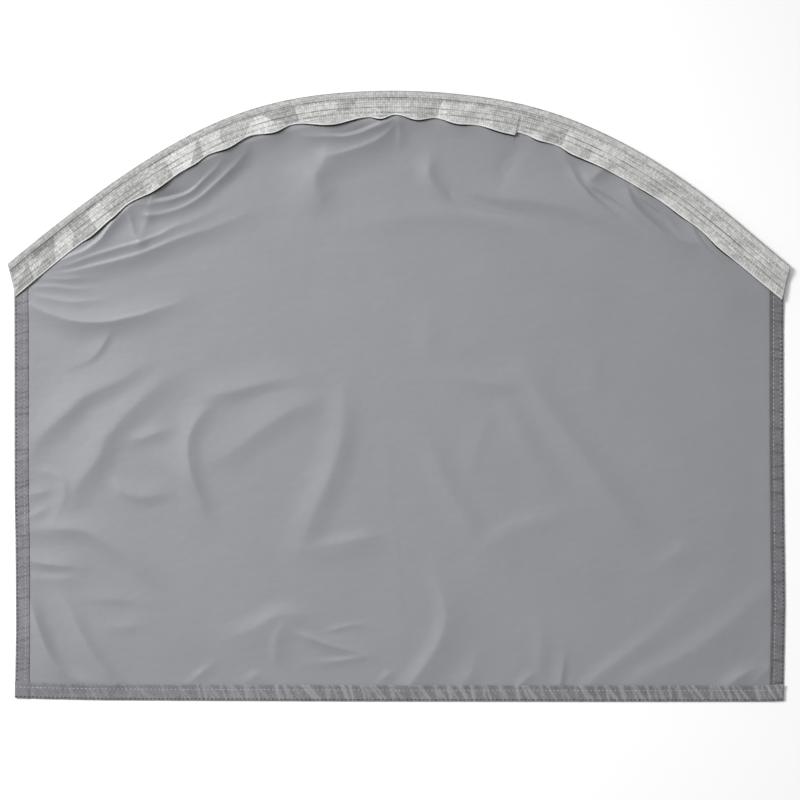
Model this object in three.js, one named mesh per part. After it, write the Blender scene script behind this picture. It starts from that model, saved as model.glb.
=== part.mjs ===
import * as THREE from 'three';

// Wheel arch cover: one sheet of coated cloth, arched at the top and hemmed on its other three
// sides, with one woven tape sewn over the arch. The tape ends in a round bead.
// The cover lies face up on a flat surface at z = 0, with the folds of a sheet just laid down.
// Millimetres. +X runs along the bottom hem, +Y towards the arch, +Z up.

// The sheet
const CLOTH = 1.2;
const HALF_WIDTH = 400;
const BOTTOM = -317;
const HEM_WIDTH = 14.5;
const HEM_LAYER = 1.0;
const HEM_STEP = 0.5;
const BOTTOM_HEM_WIDTH = 16.5;

// The tape: a bead on its outer edge, and a flag that lies over the sheet
const BEAD_RADIUS = 3.6;
const BEAD_SIDES = 10;
const TAPE_THICKNESS = 1.2;
const FLAG_ROOT = 8.6;
const SHEET_TOP_INSET = 10.6;
const SEAM_FROM_BEAD_EDGE = 23;
const TAPE_END_SKEW = 15.5;
const TAPE_END_REACH = 31;
const TAPE_SKEW_FADE = 60;
const TAPE_GAP = 0.55;
const TAPE_LOOKAROUND = 6;

// How the sheet rises to the tape, and how fast that rise fades into the sheet
const SEAM_LIFT = 0.9;
const SEAM_FADE = 46;
const RIPPLE_FADE = 18;
const SEAM_WIDTH = 6;
const FOLD_START = 10;
const HEM_FLAT = 6;
const TOUCH_DEPTH = 0.18;

// Outer edge of the tape from its left end: heading in degrees at distances along it,
// so that each stretch between two rows is close to an arc
const ARCH_START = { x: -406.3, y: 137.9 };
const ARCH = [
  { along: 0, heading: 40 },
  { along: 120, heading: 36.2 },
  { along: 190, heading: 31.5 },
  { along: 230, heading: 27.8 },
  { along: 265, heading: 23 },
  { along: 350, heading: 10 },
  { along: 390, heading: 5 },
  { along: 450, heading: 0 },
  { along: 540, heading: -7.5 },
  { along: 580, heading: -12.5 },
  { along: 650, heading: -22.5 },
  { along: 730, heading: -31 },
  { along: 810, heading: -38.5 },
  { along: 850, heading: -40.5 },
  { along: 914, heading: -39.5 },
];
const ARCH_LENGTH = 914;

// Scalloped free edge of the tape: its reach in from the bead, how far the free edge stands off
// the sheet, and how high the seam below it is lifted. Low rows are the notches between scallops.
const SCALLOPS = [
  { along: -15.5, reach: 31.2, stand: 0.2, lift: 0.2 },
  { along: 21, reach: 31.2, stand: 0.3, lift: 0.3 },
  { along: 52, reach: 31.0, stand: 0.2, lift: 0.2 },
  { along: 73, reach: 31.4, stand: 0.4, lift: 0.4 },
  { along: 87, reach: 32.6, stand: 2.2, lift: 1.4 },
  { along: 115, reach: 30.7, stand: 1.6, lift: 1.6 },
  { along: 137, reach: 28.3, stand: 0.2, lift: 0.3 },
  { along: 173, reach: 33.1, stand: 2.8, lift: 2.6 },
  { along: 207, reach: 30.5, stand: 0.6, lift: 0.9 },
  { along: 221, reach: 30.5, stand: 1.5, lift: 1.4 },
  { along: 240, reach: 28.1, stand: 0.2, lift: 0.3 },
  { along: 263, reach: 30.5, stand: 1.9, lift: 1.9 },
  { along: 291, reach: 26.5, stand: 0.2, lift: 0.3 },
  { along: 319, reach: 30.4, stand: 2.0, lift: 2.1 },
  { along: 340, reach: 26.5, stand: 0.2, lift: 0.3 },
  { along: 384, reach: 33.3, stand: 3.0, lift: 2.8 },
  { along: 424, reach: 27.6, stand: 0.5, lift: 0.6 },
  { along: 437, reach: 29.8, stand: 1.8, lift: 1.6 },
  { along: 453, reach: 25.3, stand: 0.2, lift: 0.3 },
  { along: 477, reach: 30.2, stand: 2.0, lift: 2.0 },
  { along: 496, reach: 27.1, stand: 0.3, lift: 0.4 },
  { along: 522, reach: 31.5, stand: 1.9, lift: 1.9 },
  { along: 539, reach: 30.2, stand: 0.5, lift: 0.5 },
  { along: 568, reach: 33.1, stand: 2.3, lift: 2.2 },
  { along: 588, reach: 29.9, stand: 0.2, lift: 0.3 },
  { along: 612, reach: 32.3, stand: 1.6, lift: 1.6 },
  { along: 634, reach: 31.0, stand: 0.3, lift: 0.4 },
  { along: 656, reach: 33.7, stand: 1.7, lift: 1.6 },
  { along: 692, reach: 33.1, stand: 0.9, lift: 0.9 },
  { along: 729, reach: 32.8, stand: 0.5, lift: 0.4 },
  { along: 748, reach: 32.3, stand: 1.0, lift: 0.9 },
  { along: 765, reach: 31.8, stand: 0.4, lift: 0.3 },
  { along: 791, reach: 32.3, stand: 1.1, lift: 1.1 },
  { along: 817, reach: 31.2, stand: 0.2, lift: 0.2 },
  { along: 848, reach: 33.3, stand: 1.4, lift: 1.0 },
  { along: 877, reach: 32.3, stand: 0.3, lift: 0.2 },
  { along: 929.5, reach: 32.3, stand: 0.3, lift: 0.2 },
];

// How far the cut edges bow out of true: at a height y on the sides, at an x along the bottom
const LEFT_BOW = [
  { at: -317, out: 0.4 },
  { at: -240, out: 1.6 },
  { at: -150, out: 1 },
  { at: -100, out: 0 },
  { at: 130, out: -0.2 },
];
const RIGHT_BOW = [
  { at: -317, out: 0 },
  { at: -215, out: 1.9 },
  { at: -140, out: 1 },
  { at: -50, out: 0.2 },
  { at: 130, out: 0 },
];
const BOTTOM_BOW = [
  { at: -400, out: 3.4 },
  { at: -370, out: 2.3 },
  { at: -308, out: 1.1 },
  { at: -208, out: 0.6 },
  { at: -58, out: -0.1 },
  { at: 223, out: -0.5 },
  { at: 380, out: -0.5 },
  { at: 400, out: 0.5 },
];
const BOW_DEPTH = 60;

// Main folds of the sheet: a crest through the points of its path, its rise at each of them,
// and its half width on the side towards the upper left (near) and on the other side (far)
const FOLDS = [
  { name: 'fan, first', near: 7, far: 8, path: [
    [-356, 137, 1.2], [-332, 147, 2.4], [-314, 162, 3.2], [-299, 175, 3.2], [-285, 192, 2] ] },
  { name: 'fan, second', near: 8, far: 12, path: [
    [-357, 132, 1.5], [-332, 140, 3.6], [-306, 149, 4.6], [-269, 160, 5], [-228, 180, 5],
    [-181, 201, 3.4], [-149, 216, 1.2] ] },
  { name: 'fan, third', near: 9, far: 15, path: [
    [-369, 126, 1.5], [-332, 132, 3.4], [-285, 145, 4.6], [-238, 161, 4.8], [-186, 182, 3.6],
    [-147, 199, 1.6], [-117, 212, 0.6] ] },
  { name: 'fan, fourth', near: 7, far: 9, path: [
    [-383, 112, 1.2], [-359, 110, 2], [-329, 108, 1.6], [-299, 108, 0.6] ] },
  { name: 'fan, last', near: 11, far: 17, path: [
    [-385, 96, 2.4], [-363, 86, 4.2], [-337, 79, 4.6], [-309, 79, 4.2], [-280, 84, 3.4],
    [-249, 93, 2.4], [-224, 101, 1] ] },
  { name: 'ridge at the left notch', near: 7, far: 6, path: [
    [-282, 194, 3], [-277, 178, 4.6], [-272, 163, 4.6] ] },
  { name: 'great swag', near: 9, far: 16, path: [
    [-273, 196, 4], [-261, 189, 6], [-245, 190, 7], [-218, 201, 7.4], [-199, 214, 7.2],
    [-182, 231, 6.4], [-169, 245, 5], [-159, 258, 3] ] },
  { name: 'upper swag', near: 7, far: 7, path: [
    [-267, 200, 2.6], [-247, 202, 4.6], [-225, 207, 6], [-210, 219, 6.4], [-197, 235, 5.4],
    [-187, 246, 3] ] },
  { name: 'middle swag, upper', near: 8, far: 9, path: [
    [-5, 287, 3], [-16, 280, 4.6], [-35, 274, 5], [-61, 271, 4], [-93, 272, 1.4] ] },
  { name: 'middle swag, lower', near: 10, far: 17, path: [
    [-3, 284, 3], [-12, 275, 5], [-29, 265, 5.6], [-53, 256, 5.2], [-75, 249, 3.6],
    [-95, 240, 1.2] ] },
  { name: 'short crest right of the middle', near: 13, far: 15, path: [
    [25, 246, 0.8], [28, 228, 2.8], [39, 211, 2.6], [63, 200, 1] ] },
  { name: 'right fan, first', near: 10, far: 8, path: [
    [169, 249, 1], [183, 231, 2.6], [204, 207, 3.4], [230, 186, 3.2], [256, 163, 2.2],
    [276, 150, 0.8] ] },
  { name: 'right fan, second', near: 8, far: 11, path: [
    [191, 236, 2], [205, 221, 4], [227, 206, 4.4], [253, 184, 3.4], [276, 166, 1.4] ] },
  { name: 'right fan, by the tape', near: 8, far: 9, path: [
    [244, 213, 1.6], [261, 198, 3.6], [278, 182, 3.4], [291, 171, 1.4] ] },
  { name: 'right fan, last', near: 7, far: 10, path: [
    [303, 171, 1.2], [316, 157, 2.4], [331, 143, 1] ] },
  { name: 'left wave, upper', near: 24, far: 15, path: [
    [-385, -56, 1], [-351, -22, 2.6], [-315, 9, 2.8], [-271, 32, 1.2] ] },
  { name: 'left wave, lower', near: 22, far: 17, path: [
    [-371, -130, 1], [-335, -98, 2.8], [-313, -58, 3.2], [-287, -18, 3], [-251, 16, 2.4],
    [-211, 36, 1] ] },
  { name: 'left wave, foot', near: 20, far: 16, path: [
    [-379, -128, 1.2], [-339, -130, 2.4], [-299, -146, 2.4], [-261, -172, 1] ] },
  { name: 'leaf, top', near: 15, far: 11, path: [
    [-205, -40, 1.2], [-191, 0, 2.2], [-149, 18, 2.6], [-95, 20, 2.2], [-65, 14, 1.2] ] },
  { name: 'leaf, stem', near: 17, far: 13, path: [
    [-203, -66, 1.4], [-167, -46, 2.8], [-127, -20, 3], [-91, -2, 1.6] ] },
  { name: 'leaf, right side', near: 19, far: 13, path: [
    [-55, 14, 1.4], [-49, -30, 3.4], [-65, -72, 4.2], [-85, -112, 4], [-96, -150, 1.6] ] },
  { name: 'leaf, left side', near: 13, far: 10, path: [
    [-217, -52, 1.2], [-216, -88, 2.4], [-208, -118, 2.2], [-198, -142, 0.8] ] },
  { name: 'foot, left corner', near: 17, far: 12, path: [
    [-371, -205, 0.8], [-351, -240, 2.6], [-335, -268, 2.4], [-317, -292, 0.8] ] },
  { name: 'foot, beside it', near: 15, far: 12, path: [
    [-337, -210, 0.8], [-317, -240, 2.2], [-297, -268, 2.2], [-279, -292, 0.8] ] },
  { name: 'foot, bump', near: 17, far: 15, path: [
    [-183, -246, 1], [-149, -232, 2.8], [-117, -226, 3.6], [-91, -238, 2.6], [-39, -256, 1] ] },
  { name: 'foot, middle', near: 21, far: 13, path: [
    [39, -186, 0.8], [45, -215, 2.6], [42, -246, 3.8], [27, -272, 3.6], [13, -298, 1.2] ] },
  { name: 'right wave', near: 30, far: 22, path: [
    [113, 26, 0.8], [151, -22, 3], [189, -66, 3.4], [221, -108, 3], [249, -142, 1] ] },
  { name: 'right wave, inner', near: 18, far: 16, path: [
    [99, -22, 0.6], [125, -54, 1.8], [151, -84, 0.8] ] },
  { name: 'middle wave', near: 18, far: 16, path: [
    [29, -54, 0.6], [51, -96, 2.2], [69, -128, 0.8] ] },
  { name: 'long wave under the arch', near: 24, far: 26, path: [
    [21, 190, 0.8], [105, 192, 2.2], [183, 190, 2.6], [257, 168, 2.2], [317, 142, 0.8] ] },
  { name: 'right corner, first', near: 15, far: 14, path: [
    [191, -296, 1.4], [239, -262, 3], [281, -231, 2.8], [313, -199, 1] ] },
  { name: 'right corner, second', near: 13, far: 13, path: [
    [229, -296, 1.2], [287, -262, 2.6], [343, -231, 2.4], [375, -206, 1] ] },
  { name: 'right corner, last', near: 9, far: 9, path: [
    [339, -297, 1.4], [357, -284, 1.8], [375, -272, 0.8] ] },
];
const FOLD_BLEND = 3;
const FOLD_REACH = 2.6;
const FOLD_STEPS = 18;

// Grid of the sheet: length of a stretch and the size of its cells, left to right and bottom to top
const COLUMNS = [
  { to: -150, cell: 11 },
  { to: 10, cell: 13.5 },
  { to: 150, cell: 23 },
  { to: 350, cell: 16.5 },
  { to: HALF_WIDTH - HEM_WIDTH, cell: 18 },
];
const ROWS = [
  { to: 0.2, cell: 0.034 },
  { to: 0.72, cell: 0.037 },
  { to: 0.99, cell: 0.0195 },
];

const TAPE_STATION_SPACING = 12.5;
const TAPE_OVER_HEM = 36;
const FLAG_ROWS = [0, 0.16, 0.34, 0.52, 0.66, 0.82, 1];

const clamp = THREE.MathUtils.clamp;
const radians = THREE.MathUtils.degToRad;
const smooth = THREE.MathUtils.smoothstep;
const lerp = THREE.MathUtils.lerp;

// The two rows of a table on either side of a place, and the share of the way between them
function rowsAround(table, key, at) {
  const last = table.length - 1;
  const above = table.findIndex((row) => row[key] > at);
  const step = above < 0 ? last : Math.max(1, above);
  const low = table[step - 1];
  const high = table[step];
  const share = clamp((at - low[key]) / (high[key] - low[key]), 0, 1);
  return { low, high, share };
}

// Straight interpolation in such a table
function between(table, key, value, at) {
  const { low, high, share } = rowsAround(table, key, at);
  return lerp(low[value], high[value], share);
}

// The same, eased so that the rows are the crests and the notches of a smooth line
function eased(table, key, value, at) {
  const { low, high, share } = rowsAround(table, key, at);
  return lerp(low[value], high[value], smooth(share, 0, 1));
}

// Points on the tape's outer edge, one for each millimetre along it
function traceArch() {
  const points = [{ ...ARCH_START, heading: radians(ARCH[0].heading) }];
  for (let along = 1; along <= ARCH_LENGTH; along += 1) {
    const before = points[along - 1];
    const heading = radians(between(ARCH, 'along', 'heading', along));
    const mean = (before.heading + heading) / 2;
    points.push({ x: before.x + Math.cos(mean), y: before.y + Math.sin(mean), heading });
  }
  return points;
}

const archPoints = traceArch();

// A point at a distance along the tape's outer edge and inward from it; past both ends of
// the edge the line goes on straight
function onTape(along, inward) {
  const index = clamp(Math.floor(along), 0, ARCH_LENGTH);
  const station = archPoints[index];
  const rest = along - index;
  const cos = Math.cos(station.heading);
  const sin = Math.sin(station.heading);
  return new THREE.Vector2(
    station.x + rest * cos + inward * sin,
    station.y + rest * sin - inward * cos,
  );
}

// Distance along and inward of a point of the sheet, from the nearest point of the tape's edge
function tapeCoordinates(x, y) {
  let nearest = 0;
  let least = Infinity;
  for (let index = 0; index <= ARCH_LENGTH; index += 2) {
    const squared = (archPoints[index].x - x) ** 2 + (archPoints[index].y - y) ** 2;
    if (squared < least) {
      least = squared;
      nearest = index;
    }
  }
  const { x: edgeX, y: edgeY, heading } = archPoints[nearest];
  const dx = x - edgeX;
  const dy = y - edgeY;
  return {
    along: nearest + dx * Math.cos(heading) + dy * Math.sin(heading),
    inward: dx * Math.sin(heading) - dy * Math.cos(heading),
  };
}

// Height of the sheet's cut top edge at an x: the tape's edge moved inward
const topEdge = [];
for (let along = -TAPE_END_REACH; along <= ARCH_LENGTH + TAPE_END_REACH; along += 2) {
  topEdge.push(onTape(along, SHEET_TOP_INSET));
}

// A fold's crest as short straight pieces of a smooth curve
function traceCrest(fold) {
  const curve = new THREE.CatmullRomCurve3(
    fold.path.map(([x, y, rise]) => new THREE.Vector3(x, y, rise)),
    false,
    'centripetal',
  );
  return { ...fold, crest: curve.getPoints(FOLD_STEPS) };
}

const folds = FOLDS.map(traceCrest);

// Rise of one fold at a point: full on its crest, fading over its half widths
function foldRise(fold, x, y) {
  let best = null;
  for (let step = 0; step < fold.crest.length - 1; step += 1) {
    const from = fold.crest[step];
    const to = fold.crest[step + 1];
    const runX = to.x - from.x;
    const runY = to.y - from.y;
    const share = clamp(
      ((x - from.x) * runX + (y - from.y) * runY) / (runX * runX + runY * runY), 0, 1);
    const offX = x - from.x - share * runX;
    const offY = y - from.y - share * runY;
    const distance = Math.hypot(offX, offY);
    if (!best || distance < best.distance) {
      const upperLeft = offY - offX > 0;
      best = { distance, upperLeft, rise: from.z + share * (to.z - from.z) };
    }
  }
  const width = best.upperLeft ? fold.near : fold.far;
  if (best.distance > FOLD_REACH * width) return 0;
  return best.rise * Math.exp(-((best.distance / width) ** 2));
}

// Height of the sheet's underside above the surface that it lies on
function sheetHeight(x, y) {
  let powers = 0;
  for (const fold of folds) powers += foldRise(fold, x, y) ** FOLD_BLEND;
  const folded = powers ** (1 / FOLD_BLEND);

  const { along, inward } = tapeCoordinates(x, y);
  const reached = clamp((inward - SHEET_TOP_INSET) / SEAM_FADE, 0, 1);
  const lift = SEAM_LIFT * (1 - smooth(reached, 0, 1));
  const before = smooth(inward, FLAG_ROOT, SEAM_FROM_BEAD_EDGE - SEAM_WIDTH);
  const after = 1 - smooth(inward, SEAM_FROM_BEAD_EDGE, SEAM_FROM_BEAD_EDGE + RIPPLE_FADE);
  const ripple = eased(SCALLOPS, 'along', 'lift', along) * before * after;

  // Folds die out under the tape, and at the hems, which lie flat
  const clear = smooth(inward, SEAM_FROM_BEAD_EDGE - SEAM_WIDTH, SEAM_FROM_BEAD_EDGE + FOLD_START)
    * smooth(HALF_WIDTH - Math.abs(x), HEM_FLAT, HEM_WIDTH + FOLD_START)
    * smooth(y - BOTTOM, HEM_FLAT, BOTTOM_HEM_WIDTH + FOLD_START);
  const height = lift + ripple + folded * clear;
  return Math.max(0, height - TOUCH_DEPTH);
}

// Marks along a line: a mark at each end of a stretch, and equal cells between
function marks(start, stretches) {
  const list = [start];
  for (const { to, cell } of stretches) {
    const from = list[list.length - 1];
    const count = Math.max(1, Math.round((to - from) / cell));
    for (let index = 1; index <= count; index += 1) list.push(from + ((to - from) * index) / count);
  }
  return list;
}

// A closed solid from a grid of top points and a grid of bottom points with one outline
function sheetSolid(top, bottom) {
  const rows = top.length;
  const columns = top[0].length;
  const positions = [];
  const faces = [];
  for (const grid of [top, bottom]) {
    for (const row of grid) for (const point of row) positions.push(point.x, point.y, point.z);
  }
  const upper = (row, column) => row * columns + column;
  const lower = (row, column) => rows * columns + row * columns + column;

  // Each cell is split along the diagonal that is the more level, so that creases stay crisp
  for (let row = 0; row < rows - 1; row += 1) {
    for (let column = 0; column < columns - 1; column += 1) {
      const corners = [[row, column], [row, column + 1], [row + 1, column + 1], [row + 1, column]];
      const rising = Math.abs(top[row][column].z - top[row + 1][column + 1].z);
      const falling = Math.abs(top[row][column + 1].z - top[row + 1][column].z);
      const order = rising <= falling ? [0, 1, 2, 0, 2, 3] : [0, 1, 3, 1, 2, 3];
      for (let index = 0; index < order.length; index += 3) {
        const [a, b, c] = order.slice(index, index + 3).map((corner) => corners[corner]);
        faces.push(upper(...a), upper(...b), upper(...c));
        faces.push(lower(...a), lower(...c), lower(...b));
      }
    }
  }

  const rim = [];
  for (let column = 0; column < columns - 1; column += 1) rim.push([0, column]);
  for (let row = 0; row < rows - 1; row += 1) rim.push([row, columns - 1]);
  for (let column = columns - 1; column > 0; column -= 1) rim.push([rows - 1, column]);
  for (let row = rows - 1; row > 0; row -= 1) rim.push([row, 0]);
  rim.forEach((from, index) => {
    const to = rim[(index + 1) % rim.length];
    faces.push(upper(...from), lower(...from), lower(...to));
    faces.push(upper(...from), lower(...to), upper(...to));
  });

  const geometry = new THREE.BufferGeometry();
  geometry.setAttribute('position', new THREE.Float32BufferAttribute(positions, 3));
  geometry.setIndex(faces);
  geometry.computeVertexNormals();
  return geometry;
}

// The hemmed sheet. The grid's rows run along the bottom hem and then bend up into the arch.
const hemInside = -HALF_WIDTH + HEM_WIDTH;
const columnMarks = [
  -HALF_WIDTH,
  hemInside - HEM_STEP,
  ...marks(hemInside, COLUMNS),
  HALF_WIDTH - HEM_WIDTH + HEM_STEP,
  HALF_WIDTH,
];
const rowShares = marks(0, ROWS);

function sheetGrids() {
  const levels = [
    { hem: true, place: () => BOTTOM },
    { hem: true, place: () => BOTTOM + BOTTOM_HEM_WIDTH - HEM_STEP },
  ];
  for (const share of [...rowShares, 1]) {
    levels.push({
      hem: false,
      place: (x) => {
        const low = BOTTOM + BOTTOM_HEM_WIDTH;
        return low + share * (between(topEdge, 'x', 'y', x) - low);
      },
    });
  }

  const top = [];
  const bottom = [];
  for (const level of levels) {
    const topRow = [];
    const bottomRow = [];
    for (const mark of columnMarks) {
      const y0 = level.place(mark);
      const fromSide = HALF_WIDTH - Math.abs(mark);
      const bow = mark < 0 ? LEFT_BOW : RIGHT_BOW;
      const sideways = between(bow, 'at', 'out', y0) * (1 - smooth(fromSide, HEM_WIDTH, BOW_DEPTH));
      const upwards = between(BOTTOM_BOW, 'at', 'out', mark)
        * (1 - smooth(y0 - BOTTOM, BOTTOM_HEM_WIDTH, BOW_DEPTH));
      const x = mark + sideways;
      const y = y0 + upwards;
      const sideHem = fromSide <= HEM_WIDTH - HEM_STEP ? HEM_LAYER : 0;
      const bottomHem = level.hem ? HEM_LAYER : 0;
      const z = sheetHeight(x, y);
      bottomRow.push(new THREE.Vector3(x, y, z));
      topRow.push(new THREE.Vector3(x, y, z + CLOTH + sideHem + bottomHem));
    }
    top.push(topRow);
    bottom.push(bottomRow);
  }
  return { top, bottom };
}

const sheet = sheetGrids();

// Highest point of the sheet's upper side close to a place, taken from its own faces
function sheetTopNear(x, y, reach) {
  let highest = sheetTopAt(x, y);
  for (let turn = 0; turn < 8; turn += 1) {
    const angle = (turn * Math.PI) / 4;
    for (const out of [reach / 2, reach]) {
      const height = sheetTopAt(x + out * Math.cos(angle), y + out * Math.sin(angle));
      highest = Math.max(highest, height);
    }
  }
  return highest;
}

function sheetTopAt(x, y) {
  const { top } = sheet;
  const rows = top.length;
  const columns = top[0].length;
  let column = 0;
  while (column < columns - 2 && top[rows - 1][column + 1].x < x) column += 1;
  const left = top[rows - 1][column].x;
  const right = top[rows - 1][column + 1].x;
  const across = clamp((x - left) / (right - left), 0, 1);
  const along = (row, axis) => lerp(
    top[row][column][axis], top[row][column + 1][axis], across);
  let row = rows - 2;
  while (row > 0 && along(row, 'y') > y) row -= 1;
  const low = along(row, 'y');
  const high = along(row + 1, 'y');
  const up = clamp((y - low) / (high - low), 0, 1);
  return lerp(along(row, 'z'), along(row + 1, 'z'), up);
}

// One section of the tape, as points inward from its outer edge and up
function tapeSection(along) {
  const reach = eased(SCALLOPS, 'along', 'reach', along);
  const stand = eased(SCALLOPS, 'along', 'stand', along);
  const under = FLAG_ROWS.map((share) => {
    const inward = FLAG_ROOT + share * (reach - FLAG_ROOT);
    const skewed = along + skewAt(along, inward);
    const place = onTape(skewed, inward);
    const free = smooth(inward, SEAM_FROM_BEAD_EDGE, reach);
    const up = sheetTopNear(place.x, place.y, TAPE_LOOKAROUND) + TAPE_GAP + stand * free;
    return { inward, up };
  });
  const over = under.map(({ inward, up }) => ({ inward, up: up + TAPE_THICKNESS })).reverse();

  // The bead stands on one of its flat sides, and the flag leaves it on its inner side
  const beadHeight = BEAD_RADIUS * Math.cos(Math.PI / BEAD_SIDES);
  const bead = [];
  for (let side = 1; side < BEAD_SIDES; side += 1) {
    const angle = (side * 2 * Math.PI) / BEAD_SIDES;
    bead.push({
      inward: BEAD_RADIUS * (1 + Math.cos(angle)),
      up: beadHeight + BEAD_RADIUS * Math.sin(angle),
    });
  }
  return [...under, ...over, ...bead];
}

// The ends of the tape are cut in line with the side hems, so they lean back from the bead
function skewAt(along, inward) {
  const lean = (TAPE_END_SKEW * inward) / TAPE_END_REACH;
  const leftShare = 1 - smooth(along, 0, TAPE_SKEW_FADE);
  const rightShare = smooth(along, ARCH_LENGTH - TAPE_SKEW_FADE, ARCH_LENGTH);
  return lean * (rightShare - leftShare);
}

function tapeStations() {
  const rows = SCALLOPS.map((row) => row.along).filter((at) => at > 0 && at < ARCH_LENGTH);
  const overHems = [0.25, 0.5, 0.75, 1].map((share) => share * TAPE_OVER_HEM);
  const stops = [0, ...overHems, ...rows, ...overHems.map((at) => ARCH_LENGTH - at), ARCH_LENGTH];
  stops.sort((a, b) => a - b);
  const stations = [0];
  for (let index = 1; index < stops.length; index += 1) {
    const from = stops[index - 1];
    const length = stops[index] - from;
    const count = Math.max(1, Math.ceil(length / TAPE_STATION_SPACING));
    for (let part = 1; part <= count; part += 1) stations.push(from + (length * part) / count);
  }
  return stations;
}

function tapeSolid() {
  const positions = [];
  const faces = [];
  const stations = tapeStations();
  const sections = stations.map((along) => tapeSection(along));
  const around = sections[0].length;
  sections.forEach((section, index) => {
    for (const { inward, up } of section) {
      const place = onTape(stations[index] + skewAt(stations[index], inward), inward);
      positions.push(place.x, place.y, up);
    }
  });
  for (let station = 0; station < stations.length - 1; station += 1) {
    for (let point = 0; point < around; point += 1) {
      const a = station * around + point;
      const b = station * around + ((point + 1) % around);
      faces.push(a, a + around, b, b, a + around, b + around);
    }
  }
  const endFaces = (section, first, turned) => {
    const outline = section.map(({ inward, up }) => new THREE.Vector2(inward, up));
    for (const [a, b, c] of THREE.ShapeUtils.triangulateShape(outline, [])) {
      faces.push(first + a, first + (turned ? c : b), first + (turned ? b : c));
    }
  };
  endFaces(sections[0], 0, false);
  endFaces(sections[sections.length - 1], (stations.length - 1) * around, true);

  const geometry = new THREE.BufferGeometry();
  geometry.setAttribute('position', new THREE.Float32BufferAttribute(positions, 3));
  geometry.setIndex(faces);
  geometry.computeVertexNormals();
  return geometry;
}

const coatedCloth = new THREE.MeshStandardMaterial({ color: 0x929397, roughness: 0.42, metalness: 0 });
const wovenTape = new THREE.MeshStandardMaterial({ color: 0xc9c9c6, roughness: 0.8, metalness: 0 });

const panel = new THREE.Mesh(sheetSolid(sheet.top, sheet.bottom), coatedCloth);
panel.name = 'panel';

const edgeTape = new THREE.Mesh(tapeSolid(), wovenTape);
edgeTape.name = 'edge_tape';

const cover = new THREE.Group();
cover.name = 'wheel_arch_cover';
cover.add(panel, edgeTape);

export default cover;
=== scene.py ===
import math

import bpy
import numpy as np
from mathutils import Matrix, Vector


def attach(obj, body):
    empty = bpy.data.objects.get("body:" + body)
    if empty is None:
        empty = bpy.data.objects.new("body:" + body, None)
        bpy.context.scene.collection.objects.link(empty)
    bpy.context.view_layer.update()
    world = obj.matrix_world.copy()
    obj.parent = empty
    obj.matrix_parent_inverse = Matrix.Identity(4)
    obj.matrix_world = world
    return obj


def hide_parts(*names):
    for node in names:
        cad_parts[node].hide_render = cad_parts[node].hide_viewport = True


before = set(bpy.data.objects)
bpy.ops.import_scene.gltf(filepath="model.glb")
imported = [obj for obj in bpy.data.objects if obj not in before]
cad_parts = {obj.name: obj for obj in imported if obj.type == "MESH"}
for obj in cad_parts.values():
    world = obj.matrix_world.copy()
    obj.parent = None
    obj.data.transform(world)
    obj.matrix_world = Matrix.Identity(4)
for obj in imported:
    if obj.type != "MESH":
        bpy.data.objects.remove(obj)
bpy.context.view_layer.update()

# A wheel arch cover laid face up: one arched sheet of coated cloth with turned hems on three
# sides, and a ribbed woven tape with a round bead sewn over the arch.
# Sizes and places are in millimetres, and meshes and node inputs are made in metres.
MM = 0.001

# Least distance that anything is divided by, and how the tape's outer edge is searched for the
# place nearest to a point: every third millimetre, for so many points at a time
TINY = 0.001
SEARCH_STEP = 3
SEARCH_BLOCK = 8000

# Camera: straight above the cover, at the height that frames it
CAMERA_X = 1.16
CAMERA_Y = -3.8
FRAME_WIDTH = 832.8
LENS = 100
SENSOR = 36

# The sheet: its thickness, half its width, and the y of its foot
CLOTH = 0.5
HALF_WIDTH = 400
BOTTOM = -317

# Turned hems: their widths, and the radius of their fold. The foot hem goes over the side hems, so
# its fold is higher there: it starts to rise before their free edge, and is up just past it.
HEM_WIDTH = 14.5
FOOT_HEM_WIDTH = 16.5
HEM_TURN = 0.5
HEM_CORNER_RISE = 0.95
CORNER_BEFORE = 2
CORNER_PAST = 1

# Mesh of the hems: points round the fold, the step past it, the stations along each hem, and how
# far short of the sheet's sides the foot hem ends
HEM_TURN_POINTS = 7
HEM_STEP = 1.0
SIDE_HEM_STATIONS = 380
FOOT_HEM_STATIONS = 640
FOOT_HEM_INSET = 0.1

# Stitch rows of the hems, inward from the outer edge: the pale row that sews a hem down and dents
# it, a dark row along its fold, and a short spare row at the middle of the right hem
HEM_STITCH_ROW = 10
FOOT_STITCH_ROW = 11.3
HEM_EDGE_ROW = 1.6
SPARE_ROW = 2.4
STITCH_PITCH = 4.23
STITCH_DENT = 0.12
STITCH_DENT_WIDTH = 0.9

# Where the rows on the sides start and end, how far the others stay off the ends of the foot and
# the tape, and the least and the most share of its length that a stitch has
SIDE_ROW_SPAN = (BOTTOM + 2, 107)
SPARE_ROW_SPAN = (-32, 62)
FOOT_ROW_INSET = 2
TAPE_ROW_INSET = 3
STITCH_SHORTEST = 0.85
STITCH_LONGEST = 1.12

# The tape. Its bead is a little square in section. Its flag starts at the root, at the height of
# the joint, and lies on the sheet from the sheet's cut top on, or from FLAG_DROP farther in where
# the sheet is lower than the joint. All distances inward are from the tape's outer edge.
BEAD_RADIUS = 3.5
BEAD_HEIGHT = 6
BEAD_SQUARENESS = 3.6
FLAG_ROOT = 7.5
FLAG_JOINT = 4.5
FLAG_DROP = 4
FLAG_THICKNESS = 0.9
SHEET_TOP_INSET = 10.6
SEAM_INSET = 23
TAPE_GAP = 0.12

# How far before the seam the flag starts to stand off the sheet, and the distance in which it
# climbs onto a side hem
FREE_BEFORE_SEAM = 2
HEM_CLIMB = 20

# Its ends are cut on the slant: how far they lean at their full reach, and how soon that fades
TAPE_END_SKEW = 15.5
TAPE_END_REACH = 31
TAPE_SKEW_FADE = 60

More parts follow.
